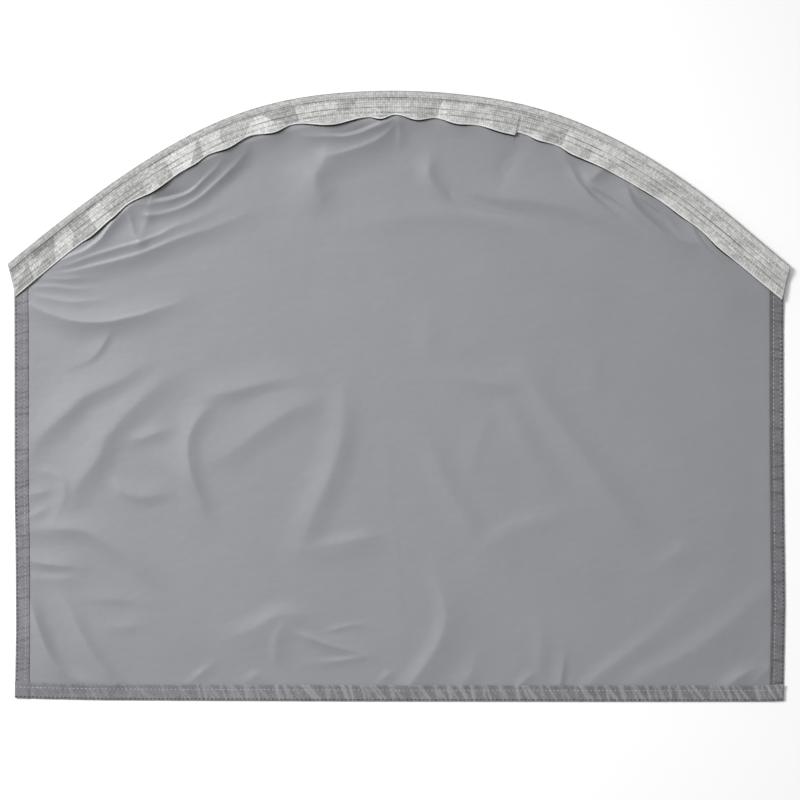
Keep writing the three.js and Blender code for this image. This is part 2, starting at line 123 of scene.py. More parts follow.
# Its weave and seams: ribs across it, rows of yarn along it, and two woven grooves
RIB_COUNT = 370
STATIONS_PER_RIB = 4
RIB_HEIGHT = 0.09
YARN_ROW = 2.4
WOVEN_LINES = (17.4, 22.8)
GROOVE_WIDTH = 0.7
GROOVE_DEPTH = 0.16
BEAD_STITCH_ROW = 8.8

# Flat facets of the flag: their height, length and lean, how uneven they are, and how far from
# its left end the flag's free edge has none
FACET_HEIGHT = 1.5
FACET_LENGTH = 16
FACET_LEAN = 0.55
FACET_LENGTHS = (0.4, 1.6)
FACET_STEP = 0.6
FACET_UNEVEN = 0.4
FACET_SEEDS = (21, 22)
FLAT_END = 60

# A strip of the tape painted dark as the shadow under its free edge shows past that edge by
# GAP_LEAST, and by up to GAP_MORE besides where that edge stands off the sheet. STAND_STEP is what
# one step of the stand in the table below measures.
GAP_LEAST = 0.3
GAP_MORE = 1.1
GAP_STANDS = (0.3, 1.6)
STAND_STEP = 0.55

# Mesh of the tape: its points across the underside, the upper side and round the bead
UNDER_POINTS = 7
UPPER_POINTS = 26
BEAD_POINTS = 22

# How the sheet rises to the tape: the share of the rise that its cut top has, how far past the
# free edge the rise fades, how far past the seam its ripples reach, and how wide the seam is
SEAM_SHARE = 0.88
FREE_EDGE = 32
SEAM_FADE = 34
RIPPLE_FADE = 24
SEAM_WIDTH = 6

# Folds start FOLD_START past the seam and HEM_FLAT from the outer edges. Loose cloth lies a little
# above the surface, and TOUCH_DEPTH is taken off all heights, so that the lowest places touch it.
FOLD_START = 4
HEM_FLAT = 2
LOOSE_LIFT = 0.9
LOOSE_FROM_EDGE = 70
TOUCH_DEPTH = 0.1

# Folds: how softly those that meet blend, how wide a lip is, between which radii a crest turns
# from sharp to blunt, and below which height the end of a path is led on until the fold is gone
FOLD_BLEND = 1.4
LIP_WIDTH = 3.6
SHARP_CREST = 1.3
BLUNT_CREST = 2.5
FADING_END = 1.3
PATH_STEPS = 8

# Mesh of the sheet: its coarse cells, how often a cell may be halved, and how far the sheet may
# bend within a cell of its upper side and of its underside
SHEET_CELLS = (118, 94)
HALVINGS = 3
CELL_BEND = 0.032
UNDER_BEND = 0.15

# Distance between the points of a line that follows an edge
LINE_STEP = 2.0

# Outer edge of the tape: heading in degrees at distances along it from its left end
ARCH_START = (-406.3, 137.9)
ARCH_LENGTH = 914
ARCH_COLUMNS = ("along", "heading")
ARCH = [
    (0, 40), (120, 36.2), (190, 31.5), (230, 27.8), (265, 23), (350, 10), (390, 5), (450, 0),
    (540, -7.5), (580, -12.5), (650, -22.5), (730, -31), (810, -38.5), (850, -40.5), (914, -39.5),
]

# Scalloped free edge: reach in from the tape's outer edge, how far the edge stands off the sheet,
# and how high the seam below it is lifted. Low rows are the notches between the scallops.
SCALLOP_COLUMNS = ("along", "reach", "stand", "lift")
SCALLOPS = [
    (-15.5, 31.2, 0.2, 0.2), (21, 31.2, 0.3, 0.3), (52, 31.0, 0.2, 0.2), (73, 31.4, 0.4, 0.4),
    (87, 32.6, 2.2, 1.4), (115, 30.7, 1.6, 1.6), (137, 28.3, 0.2, 0.3), (173, 32.8, 1.5, 1.8),
    (207, 30.5, 0.6, 0.9), (221, 30.5, 1.5, 1.4), (240, 28.1, 0.2, 0.3), (263, 30.5, 1.9, 1.9),
    (291, 26.5, 0.2, 0.3), (319, 30.4, 2.0, 2.1), (340, 26.5, 0.2, 0.3), (384, 33.3, 3.0, 2.8),
    (424, 27.6, 0.5, 0.6), (437, 29.8, 1.8, 1.6), (453, 25.3, 0.2, 0.3), (477, 30.2, 2.0, 2.0),
    (496, 27.1, 0.3, 0.4), (522, 31.5, 1.9, 1.9), (541, 30.2, 0.5, 0.5), (575, 33.4, 2.4, 2.2),
    (585, 33.4, 2.2, 1.6), (588, 29.6, 0.3, 0.4), (597, 29.9, 0.2, 0.3), (613, 32.0, 1.4, 1.4),
    (634, 31.0, 0.3, 0.4), (656, 33.7, 1.7, 1.6), (692, 33.1, 0.9, 0.9), (729, 32.8, 0.5, 0.4),
    (748, 32.3, 1.0, 0.9), (765, 31.8, 0.4, 0.3), (791, 32.3, 1.1, 1.1), (817, 31.2, 0.2, 0.2),
    (848, 33.3, 1.4, 1.0), (877, 32.3, 0.3, 0.2), (929.5, 32.3, 0.3, 0.2),
]

# How high the sheet stands at the tape's free edge, before it falls to the surface
RISE_COLUMNS = ("along", "rise")
TAPE_RISE = [
    (0, 0.6), (60, 1.3), (90, 2.5), (150, 4.8), (190, 6), (255, 5.8), (300, 4), (380, 4.4),
    (440, 2.4), (480, 1.8), (560, 2.2), (610, 2.4), (720, 2), (770, 1.2), (914, 0.9),
]

# How far the edges bow out of true: at a height y on the sides, at an x along the foot
BOW_COLUMNS = ("at", "out")
LEFT_BOW = [(-317, 0.4), (-240, 1.6), (-150, 1), (-100, 0), (130, -0.2)]
RIGHT_BOW = [(-317, 0), (-215, 1.9), (-140, 1), (-50, 0.2), (130, 0)]
FOOT_BOW = [
    (-400, 3.4), (-370, 2.3), (-308, 1.1), (-208, 0.6), (-58, -0.1), (223, -0.5), (380, -0.5),
    (400, 0.5),
]
BOW_DEPTH = 60

# Each hem: the spacing, width, lean and height of its creases, how far its free edge lifts, how much
# paler than the cloth its creases, its free edge and the whole hem are painted, and a seed for
# chance. The side hems' darker creases are painted crease shade, the right hem's darker free edge is
# painted shade, and the whole hems' tones are painted sheen and shade; the foot hem's creases are
# paler.
HEM_COLUMNS = ("name", "spacing", "width", "lean", "height", "loft", "crease tone", "edge tone",
               "tone", "seed")
HEMS = [
    ("hem_left", 9, 0.9, 0.3, 0.14, -0.85, -0.45, 0, 0.02, 11),
    ("hem_right", 15, 1.3, 0.05, 0.12, 0.35, -0.45, -0.3, -0.17, 12),
    ("hem_foot", 8, 1.9, -0.7, 0.42, 0.3, 0.95, 0, -0.12, 13),
]

# Random creases of the hems: the least and the most share of the values in that table, the share
# of its height that a crease has at the fold, and the length that the creases cover
CREASE_LEANS = (0.2, 1.3)
CREASE_WIDTHS = (0.6, 1.4)
CREASE_HEIGHTS = (0.35, 1)
CREASE_SPACINGS = (0.5, 1.6)
CREASE_AT_FOLD = 0.5
CREASED_LENGTH = 820

# Where a hem's relief starts past its fold, and the width and the blur of the strip along its free
# edge that can be painted darker as shade
RELIEF_START = (0.3, 2.5)
HEM_EDGE_STRIP = 3
EDGE_BLUR = 0.6

# Under the foot hem a side hem keeps COVERED_SHARE of its relief, and the rest comes back past the
# foot hem's edge. The foot hem's own tone, painted shade included, has FAINT_SHARE of its strength
# at the left and grows to all of it between the two places x given next.
COVERED_SHARE = 0.35
COVER_BEFORE = 2
COVER_PAST = 8
FAINT_SHARE = 0.3
FULL_TONE_FROM = (-320, 0)

# Colours
COATED_COLOR = (0.238, 0.241, 0.256)
BACK_COLOR = (0.165, 0.164, 0.178)
TAPE_COLOR = (0.455, 0.455, 0.443)
PALE_THREAD_COLOR = (0.42, 0.42, 0.43)
DARK_THREAD_COLOR = (0.04, 0.04, 0.045)
TAPE_THREAD_COLOR = (0.22, 0.22, 0.215)
FLOOR_COLOR = (0.93, 0.93, 0.93)

# Tone of the tape: what its squares of yarn, each yarn's own shade, the patches of painted shade and
# sheen and the way to its paler right end add to TONE_AT_LEAST
TONE_AT_LEAST = -0.57
SQUARE_TONE = 0.5
SQUARE_BLUNTNESS = 0.4
YARN_TONE = 0.4
FACET_SHADING_TONE = 0.66
RIGHT_END_TONE = 0.38

# The tape's patches, painted shade and sheen of the flag's creased facets: their size, how closely
# they follow along the tape and across it, how much they lean, and between which distances inward
# they begin
PATCH_SIZE = 12
PATCHES_ALONG = 0.6
PATCHES_ACROSS = 0.5
PATCH_LEAN = 0.4
PATCHES_FROM = (FLAG_ROOT - 1, FLAG_ROOT + 2)

# Pitch of the twill on the back of the cloth
TWILL_PITCH = 1.3

# Lines along the tape: inward from its outer edge and width, how dark the line is at the tape's left
# and right end, and the share of that which its breaks take away. The first, at the bead's foot, is
# its seam and also painted crease shade, darker at the left end where the bead shades it.
LINE_COLUMNS = ("inward", "width", "left", "right", "broken")
TAPE_LINES = [
    (7.5, 1.1, 0.8, 0.4, 0.45), (12.4, 0.8, 0.3, 0.4, 1), (17.4, 0.9, 0.6, 0.8, 0.55),
    (22.8, 0.9, 0.65, 0.5, 0.75), (27, 0.8, 0.4, 0.35, 1),
]

# A line is full within LINE_CORE of its width and gone at LINE_REACH of it. Its breaks and wobble
# are soft noise of these lengths, and a line breaks where the noise falls below BREAK_EDGE.
LINE_CORE = 0.3
LINE_REACH = 0.8
LINE_BREAK = 28
LINE_WOBBLE = 30
BREAK_EDGE = (0.44, 0.6)

# The painted shade along the tape's outer rim, the pale selvedge along its free edge with the share
# of it that is full, and where past that edge the painted shadow under it shows
RIM_SHADE_WIDTH = 1.7
RIM_SHADE_DARKNESS = 0.55
SELVEDGE = 1.4
SELVEDGE_CORE = 0.7
SELVEDGE_PALENESS = 0.9
GAP_SHADOW_SHOWS = (0.05, 0.2)

# Folds of the sheet, placed one by one. A path is x, y and rise along the crest, or along the bottom
# of a trough, where the rise is negative. It runs with the side that faces the light on its left.
# near and far are the widths of that side and of the other. lip is the share that falls away at
# once on the lit side, and round is how blunt the crest is: a sharp one falls steeply at first,
# and a blunt one falls evenly.
FOLD_COLUMNS = ("name", "near", "far", "lip", "round", "path")
FOLDS = [
    ("left fan, first", 10, 15, 0.2, 1.1, (
        (-353, 140, 0.8), (-340, 146, 1.7), (-327, 151, 2.2), (-316, 158, 2.8), (-309, 164, 3.1),
        (-304, 171, 3.1), (-299, 177, 2.8), (-292, 184, 2.2), (-284, 192, 1.4))),
    ("left fan, above the first", 12, 3, 0, 1.2, (
        (-356, 142, -0.2), (-343, 148, -0.5), (-330, 153, -0.6), (-319, 160, -0.7),
        (-311, 167, -0.7), (-305, 175, -0.6), (-300, 183, -0.3))),
    ("left fan, second", 70, 11, 0.1, 1.3, (
        (-360, 133, 0.8), (-340, 138, 1.8), (-323, 144, 2.3), (-302, 151, 2.9), (-281, 157, 3.1),
        (-268, 160, 3.2), (-260, 164, 3), (-247, 169, 2.7), (-236, 175, 2.4), (-219, 181, 1.8),
        (-205, 187, 1.3), (-190, 194, 0.8), (-175, 202, 0.3))),
    ("left fan, above the second", 14, 3, 0, 1.2, (
        (-345, 139, -0.2), (-324, 147, -0.4), (-303, 154, -0.4), (-282, 160, -0.4),
        (-262, 166, -0.4), (-249, 171, -0.4), (-238, 177, -0.2))),
    ("left fan, third", 80, 21, 0.08, 1.4, (
        (-368, 126, 1), (-340, 130, 2.3), (-319, 135, 3.2), (-295, 141, 3.8), (-267, 149, 3.9),
        (-240, 160, 3.6), (-212, 170, 2.9), (-188, 178, 2), (-160, 189, 1.1), (-140, 196, 0.4))),
    ("left fan, above the third", 11, 3, 0, 1.2, (
        (-355, 131, -0.2), (-340, 133, -0.4), (-320, 138, -0.5), (-296, 144, -0.5),
        (-268, 152, -0.4), (-241, 163, -0.2))),
    ("left fan, fourth", 9, 9, 0.3, 1.2, ((-372, 122, 0.7), (-345, 122, 1.3), (-320, 124, 0.6))),
    ("left fan, fifth", 12, 12, 0.3, 1.3, (
        (-384, 113, 0.8), (-362, 114, 1.7), (-340, 112, 1.3), (-322, 112, 0.5))),
    ("left fan, sixth", 16, 16, 0.3, 1.4, (
        (-384, 109, 1), (-373, 104, 2.1), (-360, 101, 2.3), (-340, 98, 1.8), (-320, 99, 1),
        (-300, 100, 0.4))),
    ("left fan, last", 26, 22, 0.16, 1.5, (
        (-385, 96, 2.3), (-370, 89, 3.5), (-360, 85, 4.1), (-340, 79, 4.5), (-320, 77, 4.5),
        (-300, 78, 4.1), (-281, 82, 3.4), (-267, 85, 2.8), (-253, 90, 2.1), (-240, 94, 1.4),
        (-222, 101, 0.5))),
    ("sharp corner below it", 23, 8, 0, 1.2, (
        (-342, 30, 0.4), (-326, 36, 0.9), (-317, 42, 1.2), (-310, 50, 1.3), (-305, 59, 1.2),
        (-300, 66, 0.6))),
    ("ridge at the left notch", 20, 12, 0.15, 1.1, (
        (-269, 161, 2.2), (-274, 167, 2.2), (-277, 177, 2), (-280, 190, 1.6), (-281, 196, 1))),
    ("beside that ridge", 12, 14, 0, 1.2, ((-268, 166, 1.3), (-264, 176, 1.6), (-260, 187, 2))),
    ("great swag", 80, 14, 0.03, 1.2, (
        (-275, 197, 1.9), (-266, 190, 2.9), (-260, 188, 3.5), (-250, 189, 3.6), (-241, 191, 3.6),
        (-224, 197, 3.6), (-207, 207, 3.6), (-193, 219, 3.6), (-177, 234, 3.5), (-169, 242, 2.9),
        (-162, 250, 2.2), (-158, 257, 1.2))),
    ("upper swag", 70, 9, 0.05, 1.2, (
        (-271, 200, 1.2), (-260, 199, 2), (-250, 201, 2.4), (-240, 203, 2.8), (-229, 207, 3),
        (-221, 210, 3), (-214, 214, 3), (-209, 219, 3), (-203, 225, 2.8), (-196, 231, 2.4),
        (-191, 236, 2), (-186, 243, 1.5))),
    ("pocket under the tape, left", 8, 2.6, 0, 1.2, (
        (-258, 204, -0.3), (-248, 206, -1.4), (-238, 208, -2.1), (-229, 210, -1.9),
        (-221, 213, -1.1), (-211, 220, -0.6), (-204, 227, -0.5), (-197, 234, -0.3),
        (-191, 240, -0.2))),
    ("between the swags", 9, 2.6, 0, 1.2, (
        (-264, 191, -0.1), (-252, 192, -0.3), (-242, 194, -0.4), (-226, 199, -0.4),
        (-209, 209, -0.4), (-195, 221, -0.4), (-180, 235, -0.3), (-172, 243, -0.1))),
    ("middle swag, upper", 34, 16, 0.12, 1.1, (
        (-102, 271, 0.8), (-92, 270, 2), (-80, 270, 3), (-68, 270, 3.6), (-58, 270, 3.9),
        (-47, 272, 4), (-37, 275, 4.1), (-28, 279, 4), (-18, 282, 3.5), (-9, 286, 2.8),
        (-2, 290, 1.8))),
    ("pocket under the tape, middle", 7, 2.4, 0, 1.2, (
        (-70, 273, -0.3), (-58, 273, -1), (-47, 275, -1.6), (-38, 278, -1.7), (-28, 282, -1.1),
        (-20, 286, -0.4))),
    ("middle swag, lower", 60, 28, 0.1, 1.2, (
        (-84, 250, 0.9), (-76, 250, 2.6), (-68, 251, 3.6), (-60, 253, 4), (-47, 257, 4.4),
        (-35, 261, 4.5), (-24, 266, 4.3), (-16, 271, 3.9), (-9, 277, 3.4), (-3, 285, 2.2))),
    ("middle swag, left end", 46, 34, 0, 2.2, (
        (-74, 197, 0.8), (-82, 206, 2.4), (-87, 219, 3.5), (-86, 231, 3.7), (-79, 241, 3))),
    ("under the middle notch", 8, 14, 0, 1.3, (
        (1, 258, 0.4), (1, 267, 1.1), (1, 276, 1.4), (0, 286, 1.2))),
    ("short crest right of the middle", 20, 17, 0, 2.2, (
        (54, 204, 0.6), (43, 213, 1.5), (35, 223, 2.1), (31, 235, 2.1), (33, 249, 0.8))),
    ("its trough", 18, 16, 0, 2.5, (
        (44, 222, -0.6), (56, 209, -1.6), (70, 201, -2), (90, 196, -2), (112, 191, -1.6),
        (132, 186, -0.7))),
    ("small trough under the arch", 18, 18, 0, 3, (
        (108, 225, -0.5), (112, 240, -1.2), (122, 254, -0.8))),
    ("long fold under the arch", 34, 18, 0, 3, (
        (90, 209, 0.8), (112, 206, 1.6), (133, 204, 2), (155, 201, 2.2), (175, 197, 2.2),
        (200, 189, 2), (222, 179, 1.4), (245, 167, 0.6))),
    ("long faint fold", 27, 21, 0, 4, (
        (-72, 178, 0.3), (-20, 183, 0.7), (32, 188, 0.9), (84, 188, 0.9), (116, 182, 0.5))),
    ("right fan, crease", 9, 9, 0.15, 1.2, (
        (184, 226, 0.5), (180, 234, 0.9), (174, 246, 0.9), (167, 258, 0.6))),
    ("right fan, first", 28, 6, 0.25, 1.2, (
        (262, 158, 0.3), (245, 171, 0.6), (232, 181, 1.1), (222, 189, 1.7), (212, 197, 2.3),
        (200, 207, 2.7), (192, 216, 2.5), (185, 225, 1.6), (182, 232, 0.8))),
    ("right fan, second", 7, 16, 0.2, 1.2, (
        (282, 159, 0.6), (268, 170, 1.2), (254, 181, 1.8), (243, 191, 2.3), (232, 200, 2.6),
        (220, 208, 2.8), (210, 214, 2.8), (202, 219, 2.5), (197, 226, 1.6), (193, 233, 0.6))),
    ("right fan, bright corner", 22, 18, 0, 1.2, (
        (196, 220, 0.8), (201, 226, 1.7), (206, 231, 2.3), (212, 236, 2.2), (218, 240, 1.2))),
    ("right fan, edge", 44, 11, 0, 1.2, (
        (312, 158, 0.8), (300, 160, 2), (288, 163, 3), (275, 170, 3.6), (262, 181, 3.9),
        (251, 191, 3.9), (243, 201, 3.4), (239, 210, 2.6), (237, 218, 1.6))),
    ("right fan, third", 5, 10, 0.2, 1, (
        (290, 172, 0.6), (284, 180, 1.2), (275, 190, 1.8), (262, 200, 2.2), (251, 208, 2),
        (243, 218, 1.4))),
    ("right fan, fourth", 30, 5, 0.2, 1.1, (
        (342, 134, 0.5), (331, 143, 1.2), (318, 156, 1.8), (309, 168, 1.8), (303, 180, 1.2))),
    ("right fan, last", 4, 6, 0.15, 1, (
        (341, 141, 0.5), (330, 151, 1.2), (320, 161, 1.2), (312, 171, 0.6))),
    ("below the right fan", 51, 25, 0, 5, (
        (378, 90, 0.6), (352, 106, 1.4), (330, 121, 2), (308, 137, 2.2), (290, 150, 2),
        (270, 164, 1))),
    ("left wave, upper", 44, 22, 0, 2.5, (
        (-384, -62, 0.8), (-374, -44, 1.8), (-360, -30, 2.4), (-344, -15, 2.8), (-333, -4, 2.8),
        (-322, 3, 2.8), (-303, 11, 2.6), (-287, 19, 2.2), (-273, 28, 1.6), (-256, 37, 0.7))),
    ("left wave, lower", 40, 26, 0, 3, (
        (-345, -125, 0.8), (-336, -96, 2), (-322, -76, 2.8), (-311, -60, 3), (-306, -46, 3),
        (-298, -35, 2.8), (-286, -21, 2.6), (-272, -7, 2.4), (-257, 6, 2), (-244, 16, 1.4),
        (-229, 25, 0.6))),
    ("left wave, foot", 31, 20, 0, 2.6, (
        (-382, -139, 1.3), (-356, -138, 2.3), (-336, -138, 3), (-316, -144, 3.1), (-300, -154, 3),
        (-284, -166, 2.6), (-268, -180, 1.8), (-256, -192, 0.8))),
    ("left edge, arc", 16, 11, 0, 1.8, (
        (-360, -134, 0.2), (-354, -120, 0.8), (-349, -107, 1.1), (-348, -95, 1.4), (-352, -86, 1.3),
        (-362, -80, 1), (-376, -77, 0.4))),
    ("left edge, first", 14, 12, 0, 1.3, ((-386, -104, 0.6), (-373, -100, 1), (-360, -97, 0.4))),
    ("left edge, second", 12, 12, 0, 1.3, ((-386, -127, 0.6), (-374, -121, 1), (-362, -115, 0.4))),
    ("left edge, third", 18, 11, 0, 1.5, (
        (-386, -170, 1.2), (-370, -174, 1.8), (-352, -176, 1.7), (-335, -178, 0.7))),
    ("left edge, fourth", 9, 16, 0, 2, (
        (-386, -189, 0.4), (-366, -190, 0.7), (-347, -190, 0.7), (-333, -187, 0.3))),
    ("left, small hump", 24, 14, 0, 2.5, (
        (-296, -86, 0.5), (-288, -97, 1.6), (-275, -103, 2), (-259, -104, 1.8), (-242, -100, 0.8))),
    ("left, small ridge", 18, 14, 0, 2, (
        (-288, -45, 0.5), (-270, -44, 1.4), (-254, -39, 1.5), (-238, -33, 0.6))),
    ("left, slant beside the leaf", 20, 16, 0, 2, (
        (-208, -106, 0.6), (-217, -93, 1.7), (-228, -80, 1.8), (-240, -68, 1.2), (-250, -60, 0.5))),
    ("leaf, left side", 26, 19, 0, 1.8, (
        (-198, -130, 0.4), (-204, -114, 1.6), (-210, -98, 2.3), (-216, -80, 2.8), (-219, -62, 2.8),
        (-219, -46, 2.5), (-213, -30, 2.2), (-203, -16, 1.6), (-193, -8, 0.6))),
    ("leaf, top", 30, 15, 0, 2.5, (
        (-200, -2, 0.8), (-184, 3, 1.6), (-166, 7, 2), (-148, 12, 1.9), (-130, 16, 1.6),
        (-110, 18, 1.1), (-88, 19, 0.4))),
    ("leaf, stem", 40, 26, 0, 3, (
        (-200, -70, 0.5), (-180, -61, 1.4), (-160, -47, 2), (-140, -32, 2.2), (-122, -20, 2.2),
        (-106, -12, 1.9), (-92, -7, 1.4), (-82, -2, 0.5))),
    ("leaf, right side", 30, 26, 0, 4, (
        (-102, -156, 0.9), (-95, -138, 1.8), (-86, -116, 2.3), (-77, -96, 2.6), (-69, -76, 2.6),
        (-63, -56, 2.6), (-59, -36, 2.2), (-57, -14, 1.6), (-57, 6, 0.6))),
    ("below the leaf", 16, 34, 0, 2.5, (
        (-108, -160, 0.6), (-88, -158, 1), (-66, -154, 1.6), (-48, -150, 1.8), (-33, -148, 1.4),
        (-18, -147, 0.5))),
    ("foot, left corner", 26, 14, 0, 1.8, (
        (-324, -298, 1.2), (-341, -293, 2.3), (-353, -284, 3.5), (-363, -270, 4.1),
        (-371, -252, 4.1), (-377, -236, 3.5), (-382, -220, 2.3), (-388, -206, 0.9))),
    ("foot, beside it", 24, 15, 0, 1.9, (
        (-296, -298, 2.1), (-304, -288, 2.9), (-315, -273, 3.1), (-326, -256, 2.9),
        (-334, -240, 2.3), (-342, -224, 1.6), (-352, -208, 0.7))),
    ("foot, small fold", 16, 9, 0, 2, ((-322, -211, 0.4), (-298, -211, 0.9), (-272, -213, 0.4))),
    ("foot, smaller fold", 14, 12, 0, 2, ((-300, -239, 0.4), (-284, -240, 0.9), (-268, -237, 0.4))),
    ("foot, bump", 20, 46, 0, 2.5, (
        (-184, -250, 0.4), (-168, -248, 1.2), (-154, -243, 1.8), (-140, -236, 2.2),
        (-128, -229, 2.2), (-112, -227, 2), (-98, -230, 1.2), (-86, -238, 0.5))),
    ("foot, beside the bump", 10, 22, 0, 3, (
        (-130, -280, 0.3), (-128, -266, 1.1), (-127, -252, 1.4), (-122, -241, 1.1),
        (-112, -234, 0.5))),
    ("foot, below the bump", 14, 11, 0.15, 1.3, (
        (-108, -245, 0.8), (-96, -250, 1.6), (-80, -256, 1.8), (-62, -262, 1.5), (-36, -268, 0.6))),
    ("foot, thin line", 6, 10, 0.1, 1, ((-84, -277, 0.5), (-62, -275, 1), (-38, -271, 0.6))),
    ("foot, short lines", 6, 6, 0, 1, (
        (-76, -245, 0.3), (-62, -241, 0.7), (-48, -238, 0.6), (-30, -237, 0.3))),
    ("foot, light streak", 7, 14, 0, 1.5, ((-216, -296, 0.6), (-206, -288, 1), (-196, -280, 0.5))),
    ("foot, light spot, left", 8, 14, 0, 2, (
        (-160, -298, 0.4), (-150, -291, 1), (-140, -297, 0.4))),
    ("foot, light spot, middle", 6, 12, 0, 2, (
        (-20, -297, 0.4), (-12, -290, 0.9), (-6, -288, 0.4))),
    ("foot, middle", 18, 36, 0, 2.2, (
        (12, -300, 1.8), (20, -290, 2.3), (30, -276, 2.3), (40, -260, 2.2), (47, -242, 2.1),
        (49, -226, 1.9), (46, -208, 1.5), (40, -190, 0.9), (38, -172, 0.4))),
    ("storage crease", 24, 4, 0, 0.8, (
        (4, -275, 0.1), (3, -235, 0.2), (1, -190, 0.2), (-5, -130, 0.16), (-8, -85, 0.16),
        (-11, -55, 0.1))),
    ("foot, upright, first", 18, 20, 0, 2, ((68, -299, 1), (76, -286, 0.9), (81, -272, 0.4))),
    ("foot, upright, second", 9, 14, 0, 1.3, ((127, -299, 1), (135, -292, 1), (143, -287, 0.4))),
    ("foot, upright, third", 14, 14, 0, 2, ((147, -283, 0.6), (148, -262, 0.8), (147, -241, 0.4))),
    ("foot, upright, fourth", 14, 7, 0, 1.2, (
        (168, -299, 1.4), (170, -286, 1.2), (172, -271, 0.5))),
    ("right corner, first", 13, 40, 0, 3.5, (
        (198, -300, 1.4), (212, -288, 1.6), (228, -276, 1.5), (244, -264, 1.3), (262, -251, 1),
        (278, -237, 0.8), (294, -222, 0.6), (310, -204, 0.4), (324, -190, 0.2))),
    ("right corner, second", 20, 44, 0, 4, (
        (240, -301, 1.2), (256, -291, 1.7), (274, -282, 1.8), (294, -272, 1.8), (316, -258, 1.7),
        (336, -243, 1.6), (354, -228, 1.4), (370, -213, 1.1), (384, -198, 0.7))),
    ("right corner, third", 13, 22, 0, 1.6, ((343, -300, 1.6), (354, -292, 2), (367, -285, 1.2))),
    ("right corner, last", 12, 14, 0, 1.5, ((375, -292, 0.9), (385, -282, 0.9))),
    ("right, short ridge", 13, 32, 0, 3, (
        (264, -178, 0.3), (280, -169, 0.8), (292, -161, 0.8), (302, -151, 0.3))),
    ("right wave", 27, 28, 0, 4, (
        (262, -158, 0.4), (248, -140, 1.1), (234, -121, 1.7), (220, -101, 2.2), (204, -80, 2.5),
        (188, -58, 2.6), (172, -36, 2.6), (156, -14, 2.5), (141, 8, 2), (127, 24, 1.2),
        (112, 36, 0.4))),
    ("right wave, inner", 20, 22, 0, 5, (
        (164, -100, 0.3), (150, -80, 0.8), (136, -56, 1.2), (124, -34, 1.2), (114, -16, 0.8),
        (104, -4, 0.3))),
    ("right wave, thin line", 24, 14, 0, 1.5, (
        (73, -80, 0.2), (80, -58, 0.5), (87, -38, 0.5), (97, -19, 0.2))),
    ("right wave, below", 17, 44, 0, 4, (
        (82, -160, 0.3), (98, -151, 0.8), (116, -141, 1), (138, -132, 0.9), (160, -124, 0.6),
        (182, -116, 0.3))),
    ("middle wave", 22, 20, 0, 5, (
        (84, -152, 0.3), (74, -134, 1.1), (62, -114, 1.4), (50, -94, 1.5), (41, -74, 1.4),
        (33, -58, 1), (22, -44, 0.4))),
    ("middle, soft fold", 27, 16, 0, 3, (
        (48, 22, 0.4), (70, 18, 0.9), (95, 13, 1.3), (115, 12, 1), (128, 14, 0.4))),
    ("middle, faint upright", 24, 21, 0, 4, ((28, 44, 0.3), (30, 60, 0.7), (28, 80, 0.4))),
    ("right, faint upright", 21, 18, 0, 4, ((203, 5, 0.3), (203, 22, 0.6), (200, 38, 0.3))),
]


# Tables and curves

def by_name(columns, row):
    """A row of a table by the names of its columns."""
    return dict(zip(columns, row))


def smooth(value, start, end):
    """0 before start and 1 after end, eased between."""
    share = np.clip((np.asarray(value, float) - start) / (end - start), 0, 1)
    return share * share * (3 - 2 * share)


def column(table, columns, name):
    return np.array([row[columns.index(name)] for row in table], float)


def between(table, columns, name, at):
    """Straight interpolation in a table by its first column."""
    return np.interp(at, column(table, columns, columns[0]), column(table, columns, name))


def eased(table, columns, name, at):
    """The same, eased so that the rows are the crests and notches of a smooth line."""
    keys = column(table, columns, columns[0])
    values = column(table, columns, name)
    step = np.clip(np.searchsorted(keys, at, side="right"), 1, len(keys) - 1)
    share = smooth(at, keys[step - 1], keys[step])
    return values[step - 1] + share * (values[step] - values[step - 1])


def steps_along(start, end):
    """Even places from start to end, for a line that follows an edge."""
    return np.arange(start, end + LINE_STEP / 2, LINE_STEP)


def blended(at, knots, values):
    """Each two neighbours of the values, blended in a straight line between their own knots."""
    return [(end - at) / (end - start) * first + (at - start) / (end - start) * second
            for (start, end), first, second in zip(knots, values[:-1], values[1:])]


def smooth_path(points, steps):
    """Centripetal curve through points, with the same number of steps between each two."""
    points = np.array(points, float)
    padded = np.vstack([2 * points[0] - points[1], points, 2 * points[-1] - points[-2]])
    line = []
    for index in range(1, len(padded) - 2):
        corners = padded[index - 1:index + 3]
        a, b, c, d = np.cumsum([0] + [np.linalg.norm(end - start) ** 0.5
                                      for start, end in zip(corners[:-1], corners[1:])])
        at = np.linspace(b, c, steps, endpoint=False)[:, None]
        values = blended(at, ((a, b), (b, c), (c, d)), corners)
        values = blended(at, ((a, c), (b, d)), values)
        line += blended(at, ((b, c),), values)
    line.append(points[-1:])
    return np.vstack(line)


def trace_arch():
    """Points and headings of the tape's outer edge, one for each millimetre along it."""
    along = np.arange(ARCH_LENGTH + 1)
    heading = np.radians(between(ARCH, ARCH_COLUMNS, "heading", along))
    mean = (heading[:-1] + heading[1:]) / 2
    x = ARCH_START[0] + np.concatenate([[0], np.cumsum(np.cos(mean))])
    y = ARCH_START[1] + np.concatenate([[0], np.cumsum(np.sin(mean))])
    return along, x, y, heading


arch_along, arch_x, arch_y, arch_heading = trace_arch()


def on_tape(along, inward):
    """A point at a distance along the tape's outer edge and inward from it."""
    inside = np.clip(along, 0, ARCH_LENGTH)
    heading = np.interp(inside, arch_along, arch_heading)
    cos = np.cos(heading)
    sin = np.sin(heading)
    past = along - inside
    x = np.interp(inside, arch_along, arch_x) + past * cos + inward * sin
    y = np.interp(inside, arch_along, arch_y) + past * sin - inward * cos
    return x, y


